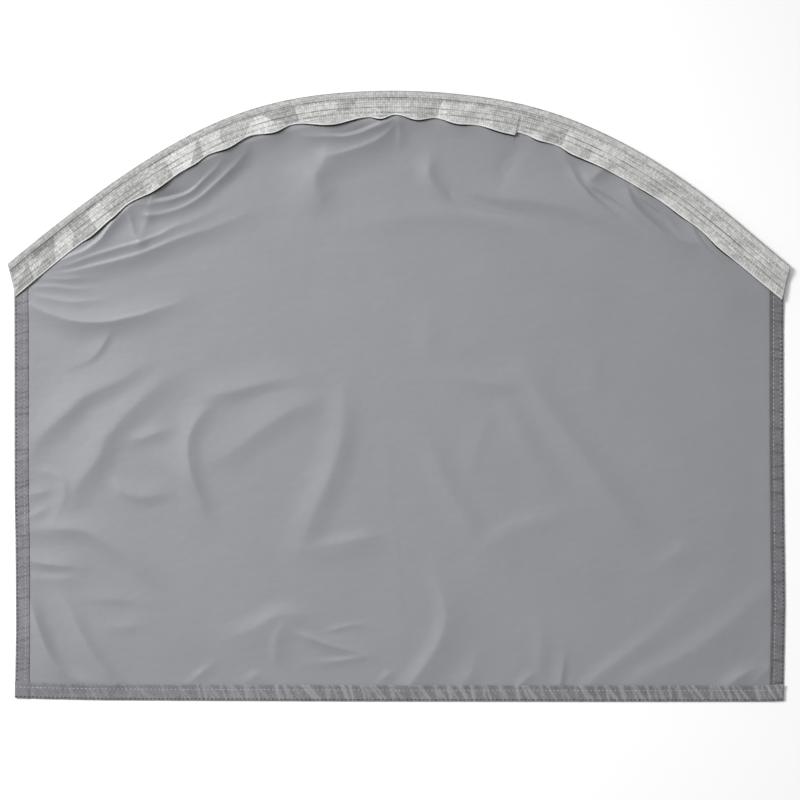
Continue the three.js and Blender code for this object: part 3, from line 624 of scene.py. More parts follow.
def tape_coordinates(x, y):
    """Distances along and inward of a row of points, from the tape's outer edge."""
    near_x = arch_x[::SEARCH_STEP]
    near_y = arch_y[::SEARCH_STEP]
    nearest = np.zeros(len(x), int)
    for start in range(0, len(x), SEARCH_BLOCK):
        part = slice(start, start + SEARCH_BLOCK)
        apart = (x[part, None] - near_x) ** 2 + (y[part, None] - near_y) ** 2
        nearest[part] = apart.argmin(axis=1) * SEARCH_STEP
    heading = arch_heading[nearest]
    dx = x - arch_x[nearest]
    dy = y - arch_y[nearest]
    along = nearest + dx * np.cos(heading) + dy * np.sin(heading)
    inward = dx * np.sin(heading) - dy * np.cos(heading)
    return along, inward


def sheet_top_edge(x):
    """Height y of the sheet's cut top edge, which follows the tape."""
    along = steps_along(-TAPE_END_REACH, ARCH_LENGTH + TAPE_END_REACH)
    edge_x, edge_y = on_tape(along, SHEET_TOP_INSET)
    return np.interp(x, edge_x, edge_y)


# Shape of the sheet

def fading_ends(path):
    """A fold's path, led on past each low end until the fold is gone."""
    path = np.array(path, float)
    before = 2 * path[0] - path[1]
    after = 2 * path[-1] - path[-2]
    before[2] = 0
    after[2] = 0
    if abs(path[0, 2]) < FADING_END:
        path = np.vstack([before, path])
    if abs(path[-1, 2]) < FADING_END:
        path = np.vstack([path, after])
    return path


def beside_path(line, x, y):
    """Distances of points from a line, its rise nearest to them, and how far left of it they lie."""
    distance = np.full(x.shape, np.inf)
    rise = np.zeros(x.shape)
    left = np.zeros(x.shape)
    for start, end in zip(line[:-1], line[1:]):
        run = end - start
        length = np.hypot(run[0], run[1])
        share = ((x - start[0]) * run[0] + (y - start[1]) * run[1]) / length ** 2
        share = np.clip(share, 0, 1)
        off_x = x - start[0] - share * run[0]
        off_y = y - start[1] - share * run[1]
        apart = np.hypot(off_x, off_y)
        better = apart < distance
        distance[better] = apart[better]
        rise[better] = (start[2] + share * run[2])[better]
        left[better] = ((off_y * run[0] - off_x * run[1]) / length)[better]
    return distance, rise, left


def fold_rise(row, x, y):
    """Rise of one fold at points: full on its crest, and fading on both sides of it."""
    fold = by_name(FOLD_COLUMNS, row)
    near = fold["near"]
    far = fold["far"]
    blunt = fold["round"]
    crest = smooth_path(fading_ends(fold["path"]), PATH_STEPS)
    reach = max(near, far)
    low = crest.min(axis=0) - reach
    high = crest.max(axis=0) + reach
    close = (x > low[0]) & (x < high[0]) & (y > low[1]) & (y < high[1])
    distance, rise, left = beside_path(crest, x[close], y[close])
    lit = 0.5 + 0.5 * left / np.maximum(distance, TINY)
    away = np.sqrt(distance ** 2 + blunt ** 2) - blunt
    share = np.minimum(1, away / (far + (near - far) * lit))
    steep = (1 - share) ** 2
    even = 1 - (share - share ** 3 * 2 / 3 + share ** 5 / 5) * 15 / 8
    soft = steep + (even - steep) * smooth(blunt, SHARP_CREST, BLUNT_CREST)
    sharp = np.maximum(0, 1 - away / LIP_WIDTH) ** 2
    result = np.zeros(x.shape)
    result[close] = rise * (soft + fold["lip"] * lit * (sharp - soft))
    return result


def folded_height(x, y):
    """Height of all folds. Where two meet, they rise above either, but by less than their sum."""
    raised = np.zeros(x.shape)
    sunk = np.zeros(x.shape)
    for row in FOLDS:
        rise = fold_rise(row, x, y)
        raised += np.maximum(rise, 0) ** FOLD_BLEND
        sunk += np.maximum(-rise, 0) ** FOLD_BLEND
    return raised ** (1 / FOLD_BLEND) - sunk ** (1 / FOLD_BLEND)


def tape_lift(along, inward):
    """How high the tape holds the sheet, with the ripples along its seam."""
    away = np.clip((inward - FREE_EDGE) / SEAM_FADE, 0, 1)
    rising = SEAM_SHARE + (1 - SEAM_SHARE) * smooth(inward, SHEET_TOP_INSET, FREE_EDGE)
    lift = between(TAPE_RISE, RISE_COLUMNS, "rise", along) * rising * (1 - away) ** 2
    before = smooth(inward, FLAG_ROOT, SEAM_INSET - SEAM_WIDTH)
    after = 1 - smooth(inward, SEAM_INSET, SEAM_INSET + RIPPLE_FADE)
    return lift + eased(SCALLOPS, SCALLOP_COLUMNS, "lift", along) * before * after


def sheet_height(x, y):
    """Height of the sheet's underside above the surface that it lies on."""
    shape = np.shape(x)
    x = np.ravel(x).astype(float)
    y = np.ravel(y).astype(float)
    along, inward = tape_coordinates(x, y)
    from_side = HALF_WIDTH - np.abs(x)
    from_foot = y - BOTTOM
    flat = smooth(from_side, HEM_FLAT, HEM_WIDTH) * smooth(from_foot, HEM_FLAT, FOOT_HEM_WIDTH)
    clear = smooth(inward, SEAM_INSET - SEAM_WIDTH, SEAM_INSET + FOLD_START)
    loose = smooth(from_side, HEM_WIDTH, LOOSE_FROM_EDGE)
    loose = loose * smooth(from_foot, HEM_WIDTH, LOOSE_FROM_EDGE)
    height = tape_lift(along, inward) + LOOSE_LIFT * loose + folded_height(x, y) * flat * clear
    return np.maximum(0, height - TOUCH_DEPTH).reshape(shape)


def bowed(x, y):
    """The place of a point once the cut edges are bowed a little out of true."""
    from_side = HALF_WIDTH - np.abs(x)
    left = between(LEFT_BOW, BOW_COLUMNS, "out", y)
    right = between(RIGHT_BOW, BOW_COLUMNS, "out", y)
    sideways = np.where(x < 0, left, right) * (1 - smooth(from_side, HEM_WIDTH, BOW_DEPTH))
    upwards = between(FOOT_BOW, BOW_COLUMNS, "out", x)
    upwards = upwards * (1 - smooth(y - BOTTOM, FOOT_HEM_WIDTH, BOW_DEPTH))
    return x + sideways, y + upwards


def foot_turn(x):
    """Radius of the foot hem's fold, which is wider where it goes over a side hem."""
    inner = HALF_WIDTH - HEM_WIDTH
    over = smooth(np.abs(x), inner - CORNER_BEFORE, inner + CORNER_PAST)
    return HEM_TURN + HEM_CORNER_RISE / 2 * over


# Meshes

def surface_normals(grid):
    """Unit directions out of the upper side of a grid of points."""
    across = np.gradient(grid, axis=1)
    up = np.gradient(grid, axis=0)
    normal = np.cross(across, up)
    return normal / np.linalg.norm(normal, axis=2, keepdims=True)


def grid_quads(index):
    """Faces of a grid of point numbers, as seen from its upper side."""
    return np.stack([index[:-1, :-1], index[:-1, 1:], index[1:, 1:], index[1:, :-1]], axis=-1)


def new_object(name, points, faces, materials, face_materials=None):
    """A smooth-shaded mesh object from points in millimetres."""
    mesh = bpy.data.meshes.new(name)
    mesh.from_pydata((np.asarray(points) * MM).tolist(), [], faces)
    for material in materials:
        mesh.materials.append(material)
    if face_materials is not None:
        mesh.polygons.foreach_set("material_index", face_materials)
    mesh.polygons.foreach_set("use_smooth", [True] * len(mesh.polygons))
    mesh.update()
    obj = bpy.data.objects.new(name, mesh)
    bpy.context.scene.collection.objects.link(obj)
    return obj


def add_attribute(obj, name, values):
    """A number for each point of a mesh, which its material or a geometry tree reads."""
    attribute = obj.data.attributes.new(name, "FLOAT", "POINT")
    attribute.data.foreach_set("value", np.asarray(values, np.float32).ravel())


# Node trees

class Socket:
    """An output of a node. Arithmetic on it adds Math nodes to its tree."""

    def __init__(self, graph, output):
        self.graph = graph
        self.output = output

    def math(self, operation, *terms):
        settings = {"operation": operation}
        return self.graph.node("ShaderNodeMath", settings, dict(enumerate(terms)))

    def __add__(self, other):
        return self.math("ADD", self, other)

    def __sub__(self, other):
        return self.math("SUBTRACT", self, other)

    def __rsub__(self, other):
        return self.math("SUBTRACT", other, self)

    def __mul__(self, other):
        return self.math("MULTIPLY", self, other)

    def __truediv__(self, other):
        return self.math("DIVIDE", self, other)

    def __pow__(self, other):
        return self.math("POWER", self, other)

    __radd__ = __add__
    __rmul__ = __mul__

    def wave(self):
        return self.math("SINE", self)

    def size(self):
        return self.math("ABSOLUTE", self)

    def whole(self):
        return self.math("FLOOR", self)

    def at_least(self, other):
        return self.math("MAXIMUM", self, other)

    def ramp(self, low, high):
        """0 below low and 1 above high, eased between."""
        values = {"Value": self, "From Min": low, "From Max": high}
        return self.graph.node("ShaderNodeMapRange", {"interpolation_type": "SMOOTHSTEP"}, values)


class Graph:
    """A node tree under construction."""

    def __init__(self, tree):
        self.tree = tree

    def node(self, kind, settings=None, inputs=None, output=0):
        """One node, with its settings first and then its inputs, and one of its outputs."""
        made = self.tree.nodes.new(kind)
        for key, value in (settings or {}).items():
            setattr(made, key, value)
        for key, value in (inputs or {}).items():
            if isinstance(value, Socket):
                self.tree.links.new(value.output, made.inputs[key])
            else:
                made.inputs[key].default_value = value
        if not made.outputs:
            return made
        return Socket(self, made.outputs[output])

    def place(self):
        """Where a point of the piece is."""
        return self.node("ShaderNodeTexCoord", output="Object")

    def attribute(self, name):
        """A number that the mesh gives at each of its points."""
        return self.node("ShaderNodeAttribute", {"attribute_name": name}, output="Fac")

    def parts(self, vector):
        """The x, y and z of a vector."""
        split = self.node("ShaderNodeSeparateXYZ", None, {0: vector})
        return [Socket(self, output) for output in split.output.node.outputs]

    def vector(self, x, y, z):
        return self.node("ShaderNodeCombineXYZ", None, {0: x, 1: y, 2: z})

    def mix(self, share, first, second):
        """A colour between two colours. The Mix node's sockets 6, 7 and 2 are those for colours."""
        settings = {"data_type": "RGBA"}
        return self.node("ShaderNodeMix", settings, {0: share, 6: first, 7: second}, output=2)

    def noise(self, place, size, detail, seed):
        """Soft noise from 0 to 1 with grains of a size in millimetres."""
        moved = self.node("ShaderNodeVectorMath", {"operation": "ADD"},
                          {0: place, 1: (seed, seed, seed)})
        values = {"Vector": moved, "Scale": 1 / (size * MM), "Detail": detail}
        return self.node("ShaderNodeTexNoise", {"noise_dimensions": "3D"}, values)

    def bump(self, height, strength, depth):
        """Surface directions from a relief, whose depth is in millimetres."""
        values = {"Strength": strength, "Distance": depth * MM, "Height": height}
        return self.node("ShaderNodeBump", None, values)


def geometry_tree(name, inputs):
    """A new geometry tree with its named inputs, and the graph that builds it."""
    tree = bpy.data.node_groups.new(name, "GeometryNodeTree")
    tree.interface.new_socket("Geometry", in_out="INPUT", socket_type="NodeSocketGeometry")
    for key, kind in inputs.items():
        tree.interface.new_socket(key, in_out="INPUT", socket_type="NodeSocket" + kind)
    tree.interface.new_socket("Geometry", in_out="OUTPUT", socket_type="NodeSocketGeometry")
    graph = Graph(tree)
    entry = tree.nodes.new("NodeGroupInput")
    given = {socket.name: Socket(graph, socket) for socket in entry.outputs if socket.name}
    return tree, graph, given


def close_tree(graph, geometry, material):
    """The end of each geometry tree."""
    real = graph.node("GeometryNodeRealizeInstances", None, {0: geometry})
    soft = graph.node("GeometryNodeSetShadeSmooth", None, {0: real})
    done = graph.node("GeometryNodeSetMaterial", None, {0: soft, "Material": material})
    graph.node("NodeGroupOutput", None, {0: done})


def grow(obj, tree, values):
    """Runs a geometry tree on an object and leaves its result as a plain mesh."""
    modifier = obj.modifiers.new("grow", "NODES")
    modifier.node_group = tree
    for item in tree.interface.items_tree:
        if item.item_type == "SOCKET" and item.in_out == "INPUT" and item.name in values:
            modifier[item.identifier] = values[item.name]
    bpy.context.view_layer.update()
    evaluated = obj.evaluated_get(bpy.context.evaluated_depsgraph_get())
    mesh = bpy.data.meshes.new_from_object(evaluated)
    obj.modifiers.remove(modifier)
    obj.data = mesh
    return obj


# Materials

def tint(color, factor):
    return (color[0] * factor, color[1] * factor, color[2] * factor, 1)


def new_material(name, color, roughness, paint):
    """A Principled material. paint(graph) gives what changes over its surface, by its input."""
    material = bpy.data.materials.new(name)
    material.use_nodes = True
    material.diffuse_color = (*color, 1)
    shader = material.node_tree.nodes["Principled BSDF"]
    inputs = [("Base Color", (*color, 1)), ("Roughness", roughness)]
    inputs += paint(Graph(material.node_tree)).items()
    for key, value in inputs:
        if isinstance(value, Socket):
            material.node_tree.links.new(value.output, shader.inputs[key])
        else:
            shader.inputs[key].default_value = value
    return material


def paint_coated(graph):
    """Smooth coated face: faint clouds in the colour, a few crinkles and a fine grain."""
    place = graph.place()
    clouds = graph.noise(place, size=60, detail=3, seed=1.3)
    specks = graph.noise(place, size=3, detail=2, seed=4.1)
    share = clouds * 0.7 + specks * 0.3
    wide = graph.node("ShaderNodeMapping", None, {"Vector": place, "Scale": (0.75, 1, 1)})
    folds = graph.noise(wide, size=30, detail=2, seed=7.7)
    crinkles = graph.noise(wide, size=8, detail=3, seed=5.2)
    grain = graph.noise(place, size=1.6, detail=1, seed=2.9)
    relief = folds * 0.8 + crinkles * 0.4 + grain * 0.05
    return {
        "Base Color": graph.mix(share, tint(COATED_COLOR, 0.95), tint(COATED_COLOR, 1.05)),
        "Roughness": 0.46 + clouds * 0.08,
        "Normal": graph.bump(relief, strength=0.5, depth=1.2),
    }


def paint_back(graph):
    """Woven back of the cloth: a fine twill, with each hem's tone added: paler creases on the foot
    hem, painted crease shade on the side hems, painted shade along the right hem's free edge, and
    painted sheen and shade over whole hems.
    """
    place = graph.place()
    x, y, _ = graph.parts(place)
    twill = ((x + y) * (2 * math.pi / (TWILL_PITCH * MM))).wave() * 0.5 + 0.5
    clouds = graph.noise(place, size=9, detail=3, seed=3.3)
    specks = graph.noise(place, size=1.4, detail=2, seed=5.9)
    # The hems' tones add painted crease shade, painted shade along the right hem's free edge,
    # painted sheen and shade of whole hems, and paler creases on the foot hem
    share = clouds * 0.5 + specks * 1.1 + graph.attribute("hem_tone_and_painted_shade") - 0.3
    return {
        "Base Color": graph.mix(share, tint(BACK_COLOR, 0.6), tint(BACK_COLOR, 1.5)),
        "Roughness": 0.62 + specks * 0.1,
        "Normal": graph.bump(twill * 0.4 + specks * 0.6, strength=0.4, depth=0.25),
    }


def yarn_squares(graph, share, inward):
    """Canvas weave: small squares of yarn with dark gaps between, and a shade for each square."""
    rib = share * RIB_COUNT
    row = inward / (YARN_ROW * MM)
    squares = (rib * math.pi).wave().size() * (row * math.pi).wave().size()
    cell = graph.vector(rib.whole(), row.whole(), 0)
    shade = graph.node("ShaderNodeTexWhiteNoise", {"noise_dimensions": "2D"}, {"Vector": cell})
    return squares, shade


def painted_facet_shading(graph, run, inward):
    """Painted shade and sheen of the flag's creased facets, as paler and darker patches. The bead
    has one even shade.
    """
    place = graph.vector(run * PATCHES_ALONG + inward * PATCH_LEAN, inward * PATCHES_ACROSS, 0)
    patch = graph.node("ShaderNodeTexVoronoi", {"voronoi_dimensions": "2D"},
                       {"Vector": place, "Scale": 1 / (PATCH_SIZE * MM)}, output=1)
    on_flag = inward.ramp(PATCHES_FROM[0] * MM, PATCHES_FROM[1] * MM)
    return (patch - 0.5) * on_flag + 0.5


def line_darkness(graph, share, run, inward):
    """How dark the tape's painted rim shade and its broken, slightly uneven lines are. The first
    line, at the bead's foot, is partly painted crease shade.
    """
    # Painted shade: the tape's outer rim, which turns away from the light, is painted darker
    dark = (1 - inward.ramp(RIM_SHADE_WIDTH / 2 * MM, RIM_SHADE_WIDTH * MM)) * RIM_SHADE_DARKNESS
    lengthwise = graph.vector(run, 0, 0)
    for index, row in enumerate(TAPE_LINES):
        line = by_name(LINE_COLUMNS, row)
        breaks = graph.noise(lengthwise, LINE_BREAK, detail=2, seed=3.0 + index)
        wobble = graph.noise(lengthwise, LINE_WOBBLE, detail=1, seed=13.0 + index) - 0.5
        off = (inward - wobble * MM - line["inward"] * MM).size()
        core = 1 - off.ramp(line["width"] * LINE_CORE * MM, line["width"] * LINE_REACH * MM)
        unbroken = 1 - (1 - breaks.ramp(*BREAK_EDGE)) * line["broken"]
        depth = (share * (line["right"] - line["left"]) + line["left"]) * unbroken
        dark = dark.at_least(core * depth)
    return dark


def paint_tape(graph):
    """The tape's weave with patches of painted facet shade and sheen, its pale selvedge, its dark
    lines with painted rim and crease shade, and the painted shadow past its free edge.
    """
    share, inward, _ = graph.parts(graph.node("ShaderNodeUVMap", {"uv_map": "weave"}))
    run = share * (ARCH_LENGTH * MM)
    squares, shade = yarn_squares(graph, share, inward)
    tone = squares ** SQUARE_BLUNTNESS * SQUARE_TONE + shade * YARN_TONE
    # Painted shade and sheen: the patches stand in for the light on the flag's creased facets
    tone = tone + painted_facet_shading(graph, run, inward) * FACET_SHADING_TONE + share * RIGHT_END_TONE
    tone = tone + TONE_AT_LEAST
    color = graph.mix(tone, tint(TAPE_COLOR, 0.5), tint(TAPE_COLOR, 1.36))

    from_edge = graph.attribute("from_edge")
    selvedge = 1 - from_edge.ramp(SELVEDGE * SELVEDGE_CORE * MM, SELVEDGE * MM)
    color = graph.mix(selvedge * SELVEDGE_PALENESS, color, tint(TAPE_COLOR, 1.5))

    # Painted shadow: the strip past the free edge is painted dark as the shade under that edge
    back = (0 - from_edge).ramp(GAP_SHADOW_SHOWS[0] * MM, GAP_SHADOW_SHOWS[1] * MM)
    dark = line_darkness(graph, share, run, inward).at_least(back)
    return {
        "Base Color": graph.mix(dark, color, tint(TAPE_COLOR, 0.05)),
        "Roughness": 0.78 + shade * 0.1,
        "Normal": graph.bump(tone - dark, strength=0.6, depth=0.3),
    }


def new_thread(name, color, roughness):
    """A thread's material, with the colour of its fibres a little uneven."""
    def paint(graph):
        fibres = graph.noise(graph.place(), size=0.5, detail=1, seed=8.8)
        return {"Base Color": graph.mix(fibres, tint(color, 0.85), tint(color, 1.15))}
    return new_material(name, color, roughness, paint)


def paint_floor(graph):
    """Plain and without any gloss."""
    return {"Specular IOR Level": 0.0}


coated_face = new_material("coated_face", COATED_COLOR, 0.5, paint_coated)
woven_back = new_material("woven_back", BACK_COLOR, 0.65, paint_back)
ribbed_tape = new_material("ribbed_tape", TAPE_COLOR, 0.8, paint_tape)
pale_thread = new_thread("pale_thread", PALE_THREAD_COLOR, 0.6)
dark_thread = new_thread("dark_thread", DARK_THREAD_COLOR, 0.7)
tape_thread = new_thread("tape_thread", TAPE_THREAD_COLOR, 0.7)
white_floor = new_material("white_floor", FLOOR_COLOR, 0.9, paint_floor)


# Camera, light and floor

def add_camera():
    camera = bpy.data.cameras.new("camera")
    camera.lens = LENS
    camera.sensor_width = SENSOR
    obj = bpy.data.objects.new("camera", camera)
    height = FRAME_WIDTH * LENS / SENSOR
    obj.location = (CAMERA_X * MM, CAMERA_Y * MM, height * MM)
    bpy.context.scene.collection.objects.link(obj)
    bpy.context.scene.camera = obj


def add_light(name, azimuth, elevation, distance, size, power, spread=180, aim=(0, 0, 0)):
    """A square soft box in metres, seen from the middle of the cover, and pointed at aim."""
    light = bpy.data.lights.new(name, "AREA")
    light.shape = "SQUARE"
    light.size = size
    light.energy = power
    light.spread = math.radians(spread)
    obj = bpy.data.objects.new(name, light)
    turn = math.radians(azimuth)
    tilt = math.radians(elevation)
    obj.location = (
        distance * math.cos(tilt) * math.cos(turn),
        distance * math.cos(tilt) * math.sin(turn),
        distance * math.sin(tilt),
    )
    obj.rotation_euler = (Vector(aim) - obj.location).to_track_quat("-Z", "Y").to_euler()
    bpy.context.scene.collection.objects.link(obj)


def add_world(strength):
    world = bpy.data.worlds.new("studio")
    world.use_nodes = True
    background = world.node_tree.nodes["Background"]
    background.inputs["Color"].default_value = (1, 1, 1, 1)
    background.inputs["Strength"].default_value = strength
    bpy.context.scene.world = world


def add_floor(half, drop):
    """A square floor, a little below the surface so that the cover never cuts into it."""
    corners = [(-half, -half, -drop), (half, -half, -drop), (half, half, -drop),
               (-half, half, -drop)]
    floor = new_object("floor", corners, [(0, 1, 2, 3)], [white_floor])


add_camera()
add_light("key_soft_box", azimuth=150, elevation=40, distance=3.4, size=1.13, power=16.6,
          spread=60, aim=(0.05, -0.3, 0))
add_light("top_soft_box", azimuth=100, elevation=44, distance=3.6, size=1.25, power=27.5)
add_world(strength=0.36)
bpy.context.scene.view_settings.view_transform = "Standard"
add_floor(half=3000, drop=0.2)


# The sheet

def sheet_place(column, row):
    """Place of a corner of the sheet's finest grid, counted from its lower left corner."""
    finest = 2 ** HALVINGS
    edge = HALF_WIDTH - CLOTH / 2 - HEM_TURN
    x = edge * (2 * column / (SHEET_CELLS[0] * finest) - 1)
    low = BOTTOM + CLOTH / 2 + foot_turn(x)
    y = low + row / (SHEET_CELLS[1] * finest) * (sheet_top_edge(x) - low)
    return bowed(x, y)


def cell_bend(cells, size):
    """How far the sheet lies off the flat within square cells, given by their first corners.

    It is measured at the middle of each cell and of its sides, between the corners a, b, c and d.
    """
    half = size / 2
    steps = [(column, row) for row in (0, half, size) for column in (0, half, size)]
    heights = [sheet_height(*sheet_place(cells[:, 0] + column, cells[:, 1] + row))
               for column, row in steps]
    a, ab, b, ac, middle, bd, c, cd, d = heights
    off = [ab - (a + b) / 2, ac - (a + c) / 2, bd - (b + d) / 2, cd - (c + d) / 2,
           middle - (a + b + c + d) / 4]
    return np.abs(off).max(axis=0)


def sheet_cells(allowed):
    """Square cells as column, row and size, halved where the sheet bends more than is allowed."""
    size = 2 ** HALVINGS
    columns, rows = np.meshgrid(np.arange(SHEET_CELLS[0]) * size, np.arange(SHEET_CELLS[1]) * size)
    cells = np.column_stack([columns.ravel(), rows.ravel()])
    kept = []
    while size > 1:
        bent = cell_bend(cells, size) > allowed
        flat = cells[~bent]
        kept.append(np.column_stack([flat, np.full(len(flat), size)]))
        size //= 2
        cells = np.vstack([cells[bent] + corner for corner in
                           ((0, 0), (size, 0), (0, size), (size, size))])
    kept.append(np.column_stack([cells, np.full(len(cells), size)]))
    return np.vstack(kept)


def cell_faces(cells, given=None):
    """Corners and faces of the cells. A cell takes in smaller ones' and given corners."""
    corners = [cells[:, :2] + cells[:, 2:] * corner for corner in
               ((0, 0), (1, 0), (1, 1), (0, 1))]
    if given is not None:
        corners.append(given)
    corners = np.unique(np.vstack(corners), axis=0)
    number = {tuple(corner): index for index, corner in enumerate(corners.tolist())}
    faces = []
    for column, row, size in cells.tolist():
        outline = [(column + step, row) for step in range(size)]
        outline += [(column + size, row + step) for step in range(size)]
        outline += [(column + size - step, row + size) for step in range(size)]
        outline += [(column, row + size - step) for step in range(size)]
        faces.append([number[corner] for corner in outline if corner in number])
    return corners, faces


def rim_of(corners):
    """Corners along the sheet's edge, in order round it from its lower left corner."""
    column, row = corners.T
    sides = [(row == 0, column), (column == column.max(), row), (row == row.max(), -column),
             (column == 0, -row)]
    rim = []
    for on_side, order in sides:
        side = np.flatnonzero(on_side)
        rim.append(side[np.argsort(order[side])][:-1])
    return np.concatenate(rim)


def sheet_points(corners, up):
    """Points of the sheet, raised above its underside."""
    x, y = sheet_place(corners[:, 0], corners[:, 1])
    return np.column_stack([x, y, sheet_height(x, y) + up])


def make_panel():
    """The sheet, fine on its upper side and coarser below, with both sides joined at the rim."""
    upper, faces = cell_faces(sheet_cells(CELL_BEND))
    rim = rim_of(upper)
    lower, under = cell_faces(sheet_cells(UNDER_BEND), upper[rim])
    count = len(upper)
    under = [[corner + count for corner in face[::-1]] for face in under]
    below = rim_of(lower) + count
    sides = np.stack([rim, below, np.roll(below, -1), np.roll(rim, -1)], axis=-1).tolist()
    points = np.vstack([sheet_points(upper, CLOTH), sheet_points(lower, 0)])
    face_materials = [0] * len(faces) + [1] * (len(under) + len(sides))
    return new_object("panel_cloth", points, faces + under + sides,
                      [coated_face, woven_back], face_materials)


panel = make_panel()


# Hems

def scatter_creases(hem):
    """Random slanting creases of a hem, as rows of place, lean, width and height."""
    chance = np.random.RandomState(hem["seed"])
    creases = []
    place = -CREASED_LENGTH / 2
    while place < CREASED_LENGTH / 2:
        creases.append((place, hem["lean"] * chance.uniform(*CREASE_LEANS),
                        hem["width"] * chance.uniform(*CREASE_WIDTHS),
                        chance.uniform(*CREASE_HEIGHTS)))
        place += hem["spacing"] * chance.uniform(*CREASE_SPACINGS)
    return creases


def hem_values(row):
    """A hem's values by their names, with its creases."""
    hem = by_name(HEM_COLUMNS, row)
    hem["creases"] = scatter_creases(hem)
    return hem


def crease_relief(run, across, creases):
    """How far points lie on a crease: 1 on a full crest and 0 between."""
    relief = np.zeros(run.shape)
    for place, lean, width, height in creases:
        off = (run - place - lean * across) / width
        relief = np.maximum(relief, height * np.exp(-off ** 4))
    return relief


def hem_section(width):
    """Across a hem: angle round its fold, then distance past the fold towards its free edge."""
    turn = np.linspace(0, math.pi, HEM_TURN_POINTS)
    run = np.arange(HEM_STEP, width - HEM_TURN, HEM_STEP)
    angle = np.concatenate([turn, np.full(len(run) + 1, math.pi)])
    past = np.concatenate([np.zeros(len(turn)), run, [width - HEM_TURN]])
    return angle, past


def from_fold(turn, angle, past):
    """How far outward of the fold's outermost line a point of a hem's section lies."""
    return -turn + turn * np.sin(angle) - past


def hem_lift(hem, run, inward, width, sewn):
    """Relief of a hem's upper layer, dented at its sewn row, and how much paler it is painted,
    painted shade and sheen included.
    """
    creases = crease_relief(run, inward, hem["creases"])
    dent = STITCH_DENT * np.exp(-((inward - sewn) / STITCH_DENT_WIDTH) ** 2)
    free = inward / width
    lift = creases * hem["height"] * (CREASE_AT_FOLD + free) + hem["loft"] * free ** 2
    lift = (lift - dent) * smooth(inward, *RELIEF_START)
    # Painted shade: darker side-hem creases, a darker strip along the right hem's free edge and the
    # whole hem's tone stand in for shade and sheen; the foot hem's creases are paler
    strip = width - HEM_EDGE_STRIP
    edge = smooth(inward, strip - EDGE_BLUR, strip + EDGE_BLUR)
    tone = hem["tone"] + creases * hem["crease tone"] + edge * hem["edge tone"]
    return lift, tone


def turned_cloth(name, middle, tone):
    """A hem as a closed thin sheet round a grid of its middle surface, with the cloth's back up."""
    rows, columns = middle.shape[:2]
    count = rows * columns
    offset = surface_normals(middle) * CLOTH / 2
    points = np.vstack([(middle + offset).reshape(-1, 3), (middle - offset).reshape(-1, 3)])
    upper = np.arange(count).reshape(rows, columns)
    top = grid_quads(upper).reshape(-1, 4)
    bottom = grid_quads(upper + count).reshape(-1, 4)[:, ::-1]
    rim = np.concatenate([upper[0, :-1], upper[:-1, -1], upper[-1, :0:-1], upper[:0:-1, 0]])
    after = np.roll(rim, -1)
    sides = np.stack([rim, rim + count, after + count, after], axis=-1)
    face_materials = [0] * len(top) + [1] * (len(bottom) + len(sides))
    hem = new_object(name, points, np.vstack([top, bottom, sides]).tolist(),
                     [woven_back, coated_face], face_materials)
    add_attribute(hem, "hem_tone_and_painted_shade", np.concatenate([np.ravel(tone), np.ravel(tone)]))
    return hem


def side_hem_x(side, angle, past):
    """x of a side hem's section. side is -1 on the left and 1 on the right."""
    return side * (HALF_WIDTH - CLOTH / 2 + from_fold(HEM_TURN, angle, past))


def side_hem_points(hem, side, y, angle, past):
    """Middle surface of a side hem, and how much paler than the cloth it is painted, painted shade
    and sheen included.
    """
    inward = -from_fold(HEM_TURN, angle, past)
    lift, tone = hem_lift(hem, y, inward, HEM_WIDTH, HEM_STITCH_ROW)
    covered = BOTTOM + FOOT_HEM_WIDTH
    bare = smooth(y, covered - COVER_BEFORE, covered + COVER_PAST)
    lift = lift * (COVERED_SHARE + (1 - COVERED_SHARE) * bare)
    x, y = bowed(side_hem_x(side, angle, past), y)
    z = sheet_height(x, y) + CLOTH / 2 + HEM_TURN * (1 - np.cos(angle)) + lift
    return np.stack([x, y, z], axis=-1), tone


def make_side_hem(hem, side):
    angle, past = hem_section(HEM_WIDTH)
    shares = np.linspace(0, 1, SIDE_HEM_STATIONS)
    low = BOTTOM + CLOTH / 2 + HEM_TURN
    y = low + shares[:, None] * (sheet_top_edge(side_hem_x(side, angle, past)) - low)
    points, tone = side_hem_points(hem, side, *np.broadcast_arrays(y, angle, past))
    if side > 0:
        points = points[:, ::-1]
        tone = tone[:, ::-1]
    return turned_cloth(hem["name"], points, tone)


def foot_hem_points(hem, x, angle, past):
    """Middle surface of the foot hem, and how much paler than the cloth it is painted, painted shade
    and sheen included.
    """
    turn = foot_turn(x)
    outward = from_fold(turn, angle, past)
    y = BOTTOM + CLOTH / 2 - outward
    lift, tone = hem_lift(hem, x, -outward, FOOT_HEM_WIDTH, FOOT_STITCH_ROW)
    tone = tone * (FAINT_SHARE + (1 - FAINT_SHARE) * smooth(x, *FULL_TONE_FROM))
    x, y = bowed(x, y)
    z = sheet_height(x, y) + CLOTH / 2 + turn * (1 - np.cos(angle)) + lift
    return np.stack([x, y, z], axis=-1), tone


def make_foot_hem(hem):
    angle, past = hem_section(FOOT_HEM_WIDTH)
    edge = HALF_WIDTH - FOOT_HEM_INSET
    x = np.linspace(-edge, edge, FOOT_HEM_STATIONS)
    section = np.broadcast_arrays(x[None, :], angle[:, None], past[:, None])
    points, tone = foot_hem_points(hem, *section)
    return turned_cloth(hem["name"], points, tone)


LEFT_HEM, RIGHT_HEM, FOOT_HEM = [hem_values(row) for row in HEMS]
hem_left = make_side_hem(LEFT_HEM, -1)
hem_right = make_side_hem(RIGHT_HEM, 1)
hem_foot = make_foot_hem(FOOT_HEM)


# The tape

